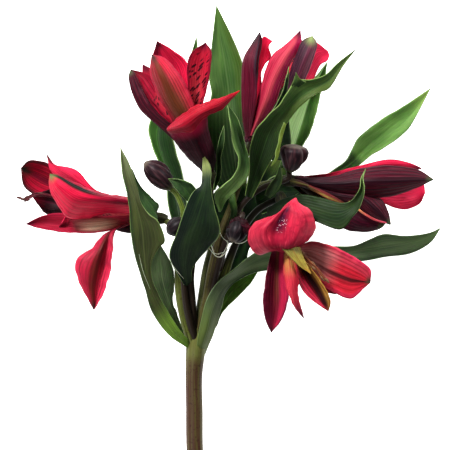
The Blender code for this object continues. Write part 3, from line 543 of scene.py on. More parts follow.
BLOOMS = {
    "bloom_left": Bloom(
        (-34, 3.5, 27), (-1, 0.1, 0), ((-46, 4, 18), (-59, 4, 8), (-70, 6, 2.5), (-81, 10, 0.5)), 7),
    "bloom_top_left": Bloom(
        (-8.5, 25.5, 40), (-0.45, 0.75, 0.45), ((-16, 40, 44), (-26, 56, 43), (-33, 66, 41), (-37, 72, 40)), 6),
    "bloom_top": Bloom(
        (11, 38.5, 34), (0.3, 0.93, 0.05), ((17, 54, 26), (25, 69, 21), (32, 78, 20), (38, 83, 21)), 6.5),
    "bloom_right": Bloom(
        (33, 19.8, 32), (0.98, -0.05, 0.08), ((50, 20, 25), (66, 21, 18), (80, 20, 15)), 7),
    "bloom_low_right": Bloom(
        (26, 8, 36), (0.15, -0.75, 0.65), ((32, -9, 39), (41, -21, 40), (50, -31, 40)), 6),
}

# The stamens of each bloom: the bundle's route on the rails' grid, its spread and its material
STAMENS = {
    "bloom_left": (((142, 213, 27), (90, 207, 24), (58, 198, 25), (38, 194, 27), (25, 199.5, 27), (19, 198, 27)), 1.0,
                   "filament_dark"),
    "bloom_top_left": (((204, 160, 43), (174, 116, 47), (160, 88, 49), (155, 73, 50)), 1.5, "filament_dark"),
    "bloom_top": (((250, 136, 35), (262, 105, 38), (277, 75, 40), (284, 62, 40)), 1.5, "filament_red"),
    "bloom_right": (((302, 182, 34), (345, 188, 34), (380, 189, 34), (400, 188, 34)), 2.0, "filament_red"),
    "bloom_low_right": (((284, 214, 39), (291, 240, 46), (303, 256, 51), (315, 267, 54.5), (326, 281, 54.5)), 1.5,
                        "filament_tan"),
}
ANTHERS = {"filament_dark": "anther_dark", "filament_red": "anther_dark", "filament_tan": "anther_tan"}

# Closed buds, from base to tip, with the radius at the widest
BUDS = {
    "bud_left": (((-24.5, 16.5, 41), (-36.2, 28.2, 44)), 5.1),
    "bud_right": (((28.8, 24.3, 38.7), (31.5, 36.2, 42)), 6.2),
    "bud_centre": (((6.5, 1.5, 44), (3, -7.5, 49)), 4.6),
    "bud_low_left": (((-17.5, 2, 43), (-26, -3.5, 41)), 4.3),
}
DARK_BUDS = ("bud_low_left", "bud_centre")
BUD_BEND = (0.6, 0.4, 0.8)  # how far a bud's middle is off its straight line
BUD_RIBS = (3, 0.07)  # count, and height as a share of the radius
BUD_GROOVES = (3, 0.22, 1.4)  # count, depth as a share of the radius, and turn in radians
STEM_RIBS = (9, 0.012)
OVARY_RIBS = (6, 0.07)

# Thickness along a tube, as a share of its radius: at even places, or as (share of the length, share)
STEM_THICKNESS = (
    (0, 0.97), (0.3, 0.98), (0.6, 1.0), (0.82, 1.02), (0.89, 1.13), (0.92, 1.16), (0.96, 0.92), (1, 0.4))
BLOOM_RAY_THICKNESS = (1.45, 1.38, 0.95, 0.85)
BUD_RAY_THICKNESS = (1.1, 0.85, 0.75, 0.75)
OVARY_SWELL = ((0, 0.6), (0.3, 0.95), (0.7, 1.0), (1, 0.85))
CUP_SWELL = (0.98, 1.0, 0.75)
FILAMENT_THICKNESS = (1.3, 1, 0.8)
ANTHER_SWELL = ((0, 0.3), (0.2, 0.9), (0.7, 1.0), (1, 0.35))
THREAD_THICKNESS = (0.6, 1, 0.5)
BUD_SWELL = ((0, 0.35), (0.12, 0.68), (0.35, 0.98), (0.6, 1.0), (0.82, 0.74), (0.94, 0.4), (1, 0.12))
BUD_SHAPES = {
    "bud_right": ((0, 0.3), (0.12, 0.52), (0.35, 0.8), (0.62, 1.0), (0.82, 0.98), (0.93, 0.72), (1, 0.2))}

# Pale hairs, on the rails' grid. Their near-white colour is partly a painted highlight on the wet fibres.
THREADS = (
    ((220, 233, 46), (223, 238, 47), (228, 243, 46), (225, 250, 44), (221, 256, 42)),
    ((233, 242, 46), (228, 249, 44), (222, 256, 42), (216, 256, 41), (208, 247, 42)),
    ((216, 240, 44), (211, 242, 44), (213, 250, 43), (215, 256, 41)),
    ((249, 239, 47), (242, 243, 47), (235, 243, 46)),
    ((236, 219, 46), (240, 227, 48), (247, 233, 49)),
    ((172, 264, 43.5), (177, 271, 43), (184, 279, 41.5)),
    ((139, 254, 44.8), (143, 271, 44), (150, 289, 41)),
    ((214, 253, 43), (218, 254, 43), (224, 252, 43)),
)
# the fine hairs on the left leaf take a dimmer copy of the hair colour, as painted shade
FINE_THREADS = (5, 6)

# The table's size in metres, and the light: each lamp's place in metres, its size and its power
TABLE_SIZE = 8
TABLE_GLOW = 0.95
SKY_GLOW = 0.08
LAMPS = {
    "key": ((-0.40, 0.60, 0.60), 0.20, 14.0),
    "fill": ((0.55, 0.45, 0.45), 0.30, 5.0),
    "front": ((-0.45, -0.50, 0.60), 0.40, 2.6),
}
GAMMA = 0.88
EXPOSURE = 0.12


def catmull_rom(a, b, c, d, t):
    """A place between b and c on the smooth curve through all four."""
    return 0.5 * (2 * b + (c - a) * t + (2 * a - 5 * b + 4 * c - d) * t**2 + (3 * b - a - 3 * c + d) * t**3)


def spline(points, count):
    """Points at even spacing on a smooth curve through the given ones."""
    given = np.array(points, float)
    ends = np.vstack([2 * given[0] - given[1], given, 2 * given[-1] - given[-2]])
    steps = np.linspace(0, 1, 24, endpoint=False)[:, None]
    dense = [catmull_rom(a, b, c, d, steps) for a, b, c, d in zip(ends, ends[1:], ends[2:], ends[3:])]
    dense = np.vstack([*dense, given[-1:]])
    length = np.concatenate([[0], np.cumsum(np.linalg.norm(np.diff(dense, axis=0), axis=1))])
    at = np.linspace(0, length[-1], count)
    return np.stack([np.interp(at, length, dense[:, k]) for k in range(3)], axis=1)


def eased(values, shares):
    """Values given at even stations, read at any share of the length with no kinks."""
    stations = np.linspace(0, 1, len(values))
    index = np.clip(np.searchsorted(stations, shares, side="right") - 1, 0, len(values) - 2)
    part = (shares - stations[index]) / (stations[index + 1] - stations[index])
    part = part * part * (3 - 2 * part)
    values = np.array(values, float)
    return values[index] * (1 - part) + values[index + 1] * part


def profile(pairs, shares):
    """A smooth curve through (station, value) pairs, read at any share."""
    stations, values = np.array(pairs, float).T
    slope = np.gradient(values, stations)
    index = np.clip(np.searchsorted(stations, shares, side="right") - 1, 0, len(stations) - 2)
    gap = stations[index + 1] - stations[index]
    t = (shares - stations[index]) / gap
    return ((2 * t**3 - 3 * t**2 + 1) * values[index] + (t**3 - 2 * t**2 + t) * gap * slope[index]
            + (3 * t**2 - 2 * t**3) * values[index + 1] + (t**3 - t**2) * gap * slope[index + 1])


def unit(vectors):
    return vectors / np.linalg.norm(vectors, axis=-1, keepdims=True)


def from_grid(points):
    """Points of the rails' grid, as points of the routes."""
    points = np.array(points, float)
    points[..., 0] = (points[..., 0] - MIDDLE) * STEP
    points[..., 1] = (MIDDLE - points[..., 1]) * STEP
    return points


def placed(points):
    """Points of the routes, in metres from the plant's own origin."""
    points = np.asarray(points, float)
    near = (EYE_HEIGHT - points[..., 2:]) / (EYE_HEIGHT - SEEN_HEIGHT)
    flat = points[..., :2] * near - np.array(ORIGIN)
    return np.concatenate([flat, points[..., 2:]], axis=-1) * MM


def edge_waves(down, side, seed, slow, fast):
    """A slow and a fast wave down a blade's edges, unlike on each piece."""
    waves = np.sin(2 * math.pi * (slow * down + 0.31 * seed) + 2.2 * side) * 0.6
    return waves + np.sin(2 * math.pi * (fast * down + 0.17 * seed) - 1.4 * side) * 0.4


def blade_surface(blade, cells, seed=0, hinge=None):
    """The blade's middle surface, in millimetres, as rows of points from base to tip.

    A leaf faces up. A petal faces the bloom's axis: hinge is the line that it opens about."""
    along, across = cells
    share = np.linspace(0, 1, along + 1)
    rib = spline(blade.route, along + 1)
    run = unit(np.gradient(rib, axis=0))
    if hinge is None:
        up = np.array((0.0, 0.0, 1.0))
        face = unit(up - run * (run @ up)[:, None])
    else:
        face = unit(np.cross(run, hinge))
    side = np.cross(run, face)
    turn = np.radians(eased(blade.roll, share))[:, None]
    side, face = side * np.cos(turn) + face * np.sin(turn), face * np.cos(turn) - side * np.sin(turn)
    width = (blade.half_width * profile(blade.outline, share))[:, None]
    cup = np.radians(np.maximum(eased(blade.cup, share), 1))[:, None]
    place = np.linspace(-1, 1, across + 1)[None, :]
    down = share[:, None]
    frill = edge_waves(down, place, seed, 5.3, 11.7)
    frill *= blade.crinkle * np.abs(place) ** 3 * np.sin(math.pi * down)
    out = width * np.sin(cup * place) / cup * (1 + 0.35 * frill / max(blade.half_width, 1))
    height, count, phase = blade.wave
    ripple = height * place**2 * np.sin(2 * math.pi * count * down + phase + 0.8 * place)
    lift = width * (1 - np.cos(cup * place)) / cup + ripple * np.sin(math.pi * down) + frill
    return rib[:, None] + side[:, None] * out[..., None] + face[:, None] * lift[..., None]


def sheet_surface(sheet, cells, seed=0):
    """The sheet's middle surface, in millimetres, as rows of points from base to tip."""
    along, across = cells
    rails = from_grid(np.stack([spline(rail, along + 1) for rail in sheet.rails], axis=1))
    lanes = rails.shape[1]
    wide = np.concatenate([2 * rails[:, :1] - rails[:, 1:2], rails, 2 * rails[:, -1:] - rails[:, -2:-1]], axis=1)
    place = np.linspace(0, lanes - 1, across + 1)
    index = np.minimum(place.astype(int), lanes - 2)
    points = catmull_rom(*(wide[:, index + k] for k in range(4)), (place - index)[None, :, None])
    down = np.linspace(0, 1, along + 1)[:, None]
    side = np.linspace(-1, 1, across + 1)[None, :]
    normal = np.cross(np.gradient(points, axis=1), np.gradient(points, axis=0))
    normal /= np.maximum(np.linalg.norm(normal, axis=-1, keepdims=True), 1e-6)
    swell = np.sin(math.pi * down) ** 0.7
    height = sheet.frill * edge_waves(down, side, seed, 4.3, 9.7) * np.abs(side) ** 3 * swell
    height += sheet.relief * np.cos(math.pi * sheet.furrows * side + 0.8 * np.sin(5 * down + seed)) * swell
    return points + normal * height[..., None]


class Shade:
    """A material made of shader nodes, with its maths written as calls.

    Along runs from 0 at a piece's base to 1 at its tip, across from -1 at its left side to 1 at its right,
    and away is the distance from its midrib."""

    def __init__(self, name, roughness=0.45, subsurface=0.0, radius=(1, 0.4, 0.3), scale=1.5, specular=0.5):
        self.material = bpy.data.materials.new(name)
        self.material.use_nodes = True
        self.tree = self.material.node_tree
        self.shader = self.tree.nodes["Principled BSDF"]
        self.shader.inputs["Roughness"].default_value = roughness
        self.shader.inputs["Specular IOR Level"].default_value = specular
        self.shader.inputs["Subsurface Weight"].default_value = subsurface
        self.shader.inputs["Subsurface Radius"].default_value = radius
        self.shader.inputs["Subsurface Scale"].default_value = scale * MM
        uv = self.node("ShaderNodeUVMap", {}, uv_map="blade")
        parts = self.node("ShaderNodeSeparateXYZ", {"Vector": uv.outputs["UV"]})
        self.uv = uv.outputs["UV"]
        self.along = parts.outputs["X"]
        self.across = self.math("MULTIPLY_ADD", parts.outputs["Y"], 2, -1)
        self.away = self.math("ABSOLUTE", self.across)
        self.place = self.node("ShaderNodeTexCoord", {}).outputs["Object"]

    def node(self, kind, inputs, **settings):
        made = self.tree.nodes.new(kind)
        for key, value in settings.items():
            setattr(made, key, value)
        for key, value in inputs.items():
            self.feed(made.inputs[key], value)
        return made

    def feed(self, socket, value):
        if isinstance(value, bpy.types.NodeSocket):
            self.tree.links.new(value, socket)
        elif isinstance(value, tuple) and len(value) == 3 and socket.type == "RGBA":
            socket.default_value = (*value, 1)
        else:
            socket.default_value = value

    def math(self, operation, *values):
        return self.node("ShaderNodeMath", dict(enumerate(values)), operation=operation).outputs[0]

    def times(self, a, b):
        return self.math("MULTIPLY", a, b)

    def plus(self, a, b):
        return self.math("ADD", a, b)

    def off(self, place):
        """The distance from a line down the blade."""
        return self.math("ABSOLUTE", self.math("SUBTRACT", self.across, place))

    def mix(self, share, a, b):
        made = self.node("ShaderNodeMix", {}, data_type="RGBA")
        for socket, value in zip((made.inputs[0], made.inputs[6], made.inputs[7]), (share, a, b)):
            self.feed(socket, value)
        return made.outputs[2]

    def paint(self, colour, tint, where, strength):
        """The colour with a tint laid over it where asked."""
        return self.mix(self.times(where, strength), colour, tint)

    def ramp(self, value, *stops):
        """A value turned into another by an eased curve: stops are (value in, value out)."""
        made = self.node("ShaderNodeValToRGB", {"Fac": value})
        ramp = made.color_ramp
        ramp.interpolation = "EASE"
        while len(ramp.elements) < len(stops):
            ramp.elements.new(1.0)
        for element, (place, shade) in zip(ramp.elements, stops):
            element.position = place
            element.color = (shade, shade, shade, 1)
        return made.outputs["Color"]

    def blade_vector(self, along, across, shift=0.0):
        """A vector whose X runs down the blade and whose Y runs across it, stretched as asked."""
        x = self.math("MULTIPLY_ADD", self.along, along, shift)
        y = self.times(self.across, across)
        return self.node("ShaderNodeCombineXYZ", {"X": x, "Y": y, "Z": shift}).outputs[0]

    def noise(self, vector, scale, detail):
        made = self.node("ShaderNodeTexNoise", {
            "Vector": vector, "Scale": scale, "Detail": detail, "Roughness": 0.5})
        return made.outputs["Fac"]

    def cells(self, vector, **inputs):
        """The distance from the nearest of many scattered points."""
        made = self.node("ShaderNodeTexVoronoi", {"Vector": vector, "Scale": 1.0, **inputs}, feature="F1")
        return made.outputs["Distance"]

    def stripes(self, count, wobble=0.0):
        """0 between veins and 1 on them, for a number of veins across the blade."""
        drift = self.times(self.math("SUBTRACT", self.noise(self.blade_vector(3, 2), 1.0, 2.0), 0.5), wobble)
        lane = self.plus(self.times(self.across, count / 2), drift)
        wave = self.math("ABSOLUTE", self.math("SINE", self.times(lane, math.pi)))
        return self.math("SUBTRACT", 1.0, self.math("POWER", wave, 0.45))

    def finish(self, colour, height=None, strength=0.3, distance=0.15):
        self.feed(self.shader.inputs["Base Color"], colour)
        if height is not None:
            bump = self.node("ShaderNodeBump", {
                "Strength": strength, "Distance": distance * MM, "Height": height})
            self.feed(self.shader.inputs["Normal"], bump.outputs[0])
        return self.material


@dataclass
class Leaf:
    """How a leaf's face is coloured: deep and light greens, veins, margins, and its foot, halves and tip."""

    deep: tuple
    light: tuple
    rib: tuple
    edge: tuple
    foot: tuple = None
    foot_reach: tuple = (0.15, 0.45)
    left: tuple = None
    right: tuple = None
    half: tuple = (0.0, 0.3)
    tip: tuple = None
    veins: int = 13
    margin: float = 0.6
    margin_from: float = 0.0
    glow: float = 0.10


def leaf_material(name, look):
    """A leaf with fine veins down its length, a paler midrib and a thin pale margin, which is partly painted light
    shining through the thin edge.
    """
    s = Shade(name, roughness=0.5, subsurface=look.glow, radius=(0.5, 1, 0.2), specular=0.14)
    veins = s.stripes(look.veins, 0.25)
    patches = s.noise(s.blade_vector(4, 1.5), 1.0, 3)
    streaks = s.noise(s.blade_vector(2.5, 16, 3), 1.0, 2)
    tone = s.plus(s.times(patches, 0.8), s.times(streaks, 0.5))
    colour = s.mix(s.ramp(tone, (0.42, 0), (0.9, 1)), look.deep, look.light)
    colour = leaf_parts(s, look, colour)
    dark = tuple(0.5 * c for c in look.deep)
    colour = s.paint(colour, dark, s.ramp(streaks, (0.45, 0), (0.7, 1)), 0.35)
    colour = s.paint(colour, look.rib, veins, 0.35)
    colour = s.paint(colour, look.rib, s.ramp(s.away, (0.015, 1), (0.07, 0)), 0.5)
    # the pale margin: the leaf's paler edge, brightened further as painted light shining through it
    margin = s.ramp(s.away, (0.94, 0), (0.985, 1))
    if look.margin_from:
        margin = s.times(margin, s.ramp(s.along, (look.margin_from, 0), (look.margin_from + 0.15, 1)))
    colour = s.paint(colour, look.edge, margin, look.margin)
    return s.finish(colour, s.plus(s.times(veins, 0.6), s.times(streaks, 0.5)), 0.5, 0.22)


def leaf_parts(s, look, colour):
    """The leaf's left and right halves, its foot and its tip, each where it has a colour of its own; some dark feet
    and halves are painted shade, and one pale half is partly a painted highlight.
    """
    start, full = look.half
    if look.left is not None:
        colour = s.paint(colour, look.left, s.ramp(s.times(s.across, -1), (start, 0), (full, 1)), 0.9)
    if look.right is not None:
        colour = s.paint(colour, look.right, s.ramp(s.across, (start, 0), (full, 1)), 0.9)
    if look.foot is not None:
        # a lime or pale foot is the leaf's own colour; a near-black foot is painted shade where the base lies under
        # the blooms
        low, high = look.foot_reach
        colour = s.paint(colour, look.foot, s.ramp(s.along, (low, 1), (high, 0)), 0.9)
    if look.tip is not None:
        colour = s.mix(s.ramp(s.along, (0.8, 0), (1.0, 0.8)), colour, look.tip)
    return colour


DARK = (0.008, 0.022, 0.007)
DARK_LIGHT = (0.030, 0.068, 0.017)
RIB = (0.05, 0.095, 0.03)
# the pale margin's colour is partly painted light shining through the leaf's edge
EDGE = (0.24, 0.34, 0.12)
LIME = (0.20, 0.34, 0.045)
LEAVES_LOOK = {
    "leaf_dark": Leaf(DARK, DARK_LIGHT, RIB, EDGE, tip=(0.07, 0.11, 0.03)),
    # its greyish light green is partly a painted sheen on the upper side, and its darker right half is painted shade
    # along the lower edge
    "leaf_band": Leaf((0.036, 0.062, 0.030), (0.115, 0.155, 0.075), (0.11, 0.15, 0.075), (0.16, 0.22, 0.10),
                      tip=(0.09, 0.13, 0.05), foot=(0.10, 0.135, 0.024), foot_reach=(0.06, 0.24),
                      right=(0.014, 0.030, 0.010), half=(0.5, 0.95), veins=11),
    # its near-black foot is painted shade where the base lies under the cap petal
    "leaf_reach": Leaf(DARK, (0.030, 0.052, 0.014), (0.024, 0.046, 0.014), EDGE, tip=(0.13, 0.19, 0.045),
                       foot=(0.006, 0.012, 0.006), foot_reach=(0.20, 0.50), margin_from=0.62, veins=9),
    # near-black greens and a dark margin: painted shade for the small right bract, which lies in shadow
    "leaf_in_shadow": Leaf((0.006, 0.014, 0.006), (0.022, 0.038, 0.010), (0.02, 0.04, 0.012), (0.05, 0.075, 0.02)),
    "leaf_lime": Leaf((0.10, 0.14, 0.02), (0.26, 0.32, 0.07), LIME, EDGE, glow=0.2),
    # a near-black copy of the leaf greens, with a still darker left half: painted shade for leaves and sheets deep in
    # the plant's shadow
    "leaf_shaded": Leaf((0.004, 0.011, 0.006), (0.020, 0.042, 0.012), (0.02, 0.04, 0.015), EDGE,
                       left=(0.003, 0.009, 0.006), half=(0.2, 0.6), tip=(0.26, 0.32, 0.09)),
    "leaf_olive": Leaf((0.020, 0.023, 0.008), (0.064, 0.074, 0.022), (0.07, 0.085, 0.03), EDGE, foot=LIME,
                       foot_reach=(0.15, 0.30), tip=(0.18, 0.21, 0.10), left=(0.014, 0.030, 0.013), half=(0.55, 1.0)),
    "leaf_grey": Leaf((0.030, 0.045, 0.022), (0.085, 0.11, 0.055), (0.11, 0.14, 0.07), EDGE,
                      foot=(0.035, 0.045, 0.012)),
    "leaf_halved": Leaf((0.010, 0.028, 0.010), (0.03, 0.06, 0.02), RIB, EDGE, left=(0.085, 0.20, 0.045),
                        foot=(0.012, 0.022, 0.012), foot_reach=(0.2, 0.4), tip=(0.05, 0.11, 0.02)),
    # its near-black foot is painted shade under the blooms
    "leaf_mid": Leaf((0.022, 0.060, 0.012), (0.075, 0.145, 0.032), (0.08, 0.13, 0.045), (0.12, 0.18, 0.05),
                     right=(0.045, 0.075, 0.006), half=(0.3, 0.9), foot=(0.008, 0.022, 0.006), foot_reach=(0.3, 0.55),
                     tip=(0.09, 0.16, 0.036)),
    "leaf_curl": Leaf((0.012, 0.030, 0.008), (0.04, 0.085, 0.02), RIB, (0.26, 0.36, 0.13), left=(0.11, 0.19, 0.055),
                      half=(0.45, 0.8), foot=(0.15, 0.24, 0.08), foot_reach=(0.28, 0.5)),
    # its near-black foot is painted shade under the blooms
    "leaf_crossing": Leaf((0.028, 0.062, 0.016), (0.085, 0.140, 0.036), RIB, (0.24, 0.33, 0.10),
                          right=(0.060, 0.088, 0.016), half=(0.1, 0.5), foot=(0.008, 0.020, 0.006),
                          foot_reach=(0.30, 0.62), tip=(0.10, 0.15, 0.035)),
    # its pale left half is the pale underside with a painted highlight on it
    "leaf_pale": Leaf((0.022, 0.060, 0.010), (0.07, 0.14, 0.026), (0.10, 0.18, 0.05), EDGE, left=(0.42, 0.56, 0.28),
                      half=(0.0, 0.12), foot=(0.03, 0.07, 0.02), foot_reach=(0.1, 0.2), glow=0.2),
    # its dark foot is painted shade under the blooms
    "leaf_bright": Leaf((0.075, 0.15, 0.036), (0.18, 0.31, 0.09), (0.10, 0.20, 0.04), (0.16, 0.24, 0.10),
                        foot=(0.016, 0.036, 0.014), foot_reach=(0.40, 0.44), tip=(0.30, 0.40, 0.10), glow=0.2),
    "leaf_fresh": Leaf((0.045, 0.075, 0.012), (0.11, 0.18, 0.03), (0.13, 0.19, 0.05), EDGE,
                       left=(0.03, 0.05, 0.012), half=(0.3, 0.8), glow=0.15),
    "leaf_under": Leaf((0.09, 0.17, 0.05), (0.19, 0.31, 0.11), (0.14, 0.24, 0.08), (0.28, 0.38, 0.15), glow=0.15),
}
# the painted-shade greens above, with a pale lime tip
LEAVES_LOOK["leaf_fold"] = replace(LEAVES_LOOK["leaf_shaded"], tip=(0.55, 0.62, 0.22))


@dataclass
class Petal:
    """How a petal's face is coloured, from its base to its tip."""

    body: tuple
    base: tuple = (0.06, 0.004, 0.012)
    tip: tuple = (0.05, 0.02, 0.02)
    vein: tuple = (0.10, 0.002, 0.012)
    rib: tuple = (0.05, 0.002, 0.012)
    rib_place: float = 0.0
    rib_width: float = 0.16
    rib_share: float = 0.7
    rib_stops: tuple = None
    veins: int = 17
    vein_share: float = 0.75
    base_reach: float = 0.45
    tip_start: float = 0.88
    left: tuple = None
    right: tuple = None
    throat: tuple = None
    throat_stops: tuple = ((0.15, 1), (0.45, 0.85), (0.85, 0))
    throat_width: tuple = (0.3, 0.85)
    rim: tuple = None
    flecks: float = 0.0
    mottle: float = 0.0
    # how strongly pale dots are painted near the rib as glints, small highlights on the wet petal
    painted_glints: float = 0.0
    # how strongly streaks of a lighter body colour are painted on as highlights
    painted_highlight: float = 0.45
    shine: float = 0.48


def petal_material(name, look):
    """A petal that shades from its base to its tip, with fine veins, a darker rib, its own marks and painted
    highlight streaks.
    """
    s = Shade(name, roughness=look.shine, subsurface=0.05, radius=(1.2, 0.2, 0.3), specular=0.12)
    veins = s.stripes(look.veins, 1.1)
    fine = s.noise(s.blade_vector(3, 26, 5), 1.0, 3)
    colour = petal_ground(s, look)
    lines = s.plus(s.times(veins, 0.36), s.times(fine, 0.75))
    colour = s.paint(colour, look.vein, s.ramp(lines, (0.3, 0), (0.72, 1)), look.vein_share)
    # the rib band: a stripe down the petal in its own colour, except on petal_salmon, where the pale band is a
    # painted highlight
    middle = s.ramp(s.off(look.rib_place), (look.rib_width * 0.25, 1), (look.rib_width, 0))
    if look.rib_stops is not None:
        middle = s.times(middle, s.ramp(s.along, *look.rib_stops))
    colour = s.paint(colour, look.rib, middle, look.rib_share)
    colour = petal_marks(s, look, colour)
    colour = petal_edges(s, look, colour)
    return s.finish(colour, s.plus(s.times(veins, 0.5), fine), 0.55, 0.25)


def petal_ground(s, look):
    """The petal's broad colours: its body, base, sides and throat, and painted highlight streaks."""
    patches = s.noise(s.blade_vector(3.5, 2.2, 2), 1.0, 3)
    colour = s.mix(s.ramp(patches, (0.35, 0), (0.7, 0.55)), look.body, tuple(0.45 * c for c in look.body))
    colour = s.mix(s.ramp(s.along, (0.12, 1), (look.base_reach, 0)), colour, look.base)
    if look.left is not None:
        colour = s.mix(s.ramp(s.times(s.across, -1), (0.1, 0), (0.5, 1)), colour, look.left)
    if look.right is not None:
        colour = s.mix(s.ramp(s.across, (0.1, 0), (0.5, 1)), colour, look.right)
    # a lane down the middle near the base: the throat's own colour, except on petal_right, where it is a painted
    # highlight
    if look.throat is not None:
        low, high = look.throat_width
        lane = s.ramp(s.away, (low, 1), (high, 0))
        colour = s.paint(colour, look.throat, lane, s.ramp(s.along, *look.throat_stops))
    # painted highlight: streaks of a lighter body colour where the petal would catch the light
    highlight_streaks = s.noise(s.blade_vector(5, 17, 9), 1.0, 3)
    lit = tuple(min(1.5 * c + 0.03, 1) for c in look.body)
    return s.paint(colour, lit, s.ramp(highlight_streaks, (0.52, 0), (0.70, 1)), look.painted_highlight)


def petal_marks(s, look, colour):
    """The petal's clouds, pale dots of painted glint and dark slanted flecks, where it has them."""
    if look.mottle:
        clouds = s.noise(s.blade_vector(9, 5, 7), 1.0, 4)
        colour = s.paint(colour, look.base, s.ramp(clouds, (0.46, 0), (0.64, 1)), look.mottle * 0.6)
    # painted glints: pale dots near the rib that stand in for small highlights on the glossy petal
    if look.painted_glints:
        dots = s.ramp(s.cells(s.blade_vector(46, 22)), (0.20, 1), (0.30, 0))
        glint_patch = s.ramp(s.off(0.06), (0.08, 1), (0.17, 0))
        glint_patch = s.times(glint_patch, s.ramp(s.along, (0.36, 0), (0.42, 1), (0.56, 1), (0.64, 0)))
        colour = s.paint(colour, PAINTED_GLINT, s.times(dots, glint_patch), look.painted_glints)
    if look.flecks:
        slant = s.math("MULTIPLY_ADD", s.across, -0.11, s.along)
        vector = s.node("ShaderNodeCombineXYZ", {
            "X": s.times(slant, 26), "Y": s.times(s.across, 1.7), "Z": 3.0}).outputs[0]
        spots = s.ramp(s.cells(vector, Randomness=0.5), (0.34, 1), (0.43, 0))
        where = s.ramp(s.along, (0.3, 0), (0.42, 1), (0.85, 1), (0.93, 0))
        thin = s.ramp(s.away, (0.75, 1), (0.95, 0))
        colour = s.paint(colour, FLECK, s.times(spots, where), s.times(thin, look.flecks))
    return colour


def petal_edges(s, look, colour):
    """The petal's rim, where it has one, and its tip."""
    if look.rim is not None:
        rim = s.times(s.ramp(s.away, (0.72, 0), (0.97, 1)), s.ramp(s.along, (0.3, 0), (0.7, 1)))
        colour = s.paint(colour, look.rim, rim, 0.85)
    end = s.ramp(s.along, (look.tip_start, 0), (0.985, 1))
    return s.paint(colour, look.tip, end, s.ramp(s.away, (0.35, 1), (1.0, 0.35)))
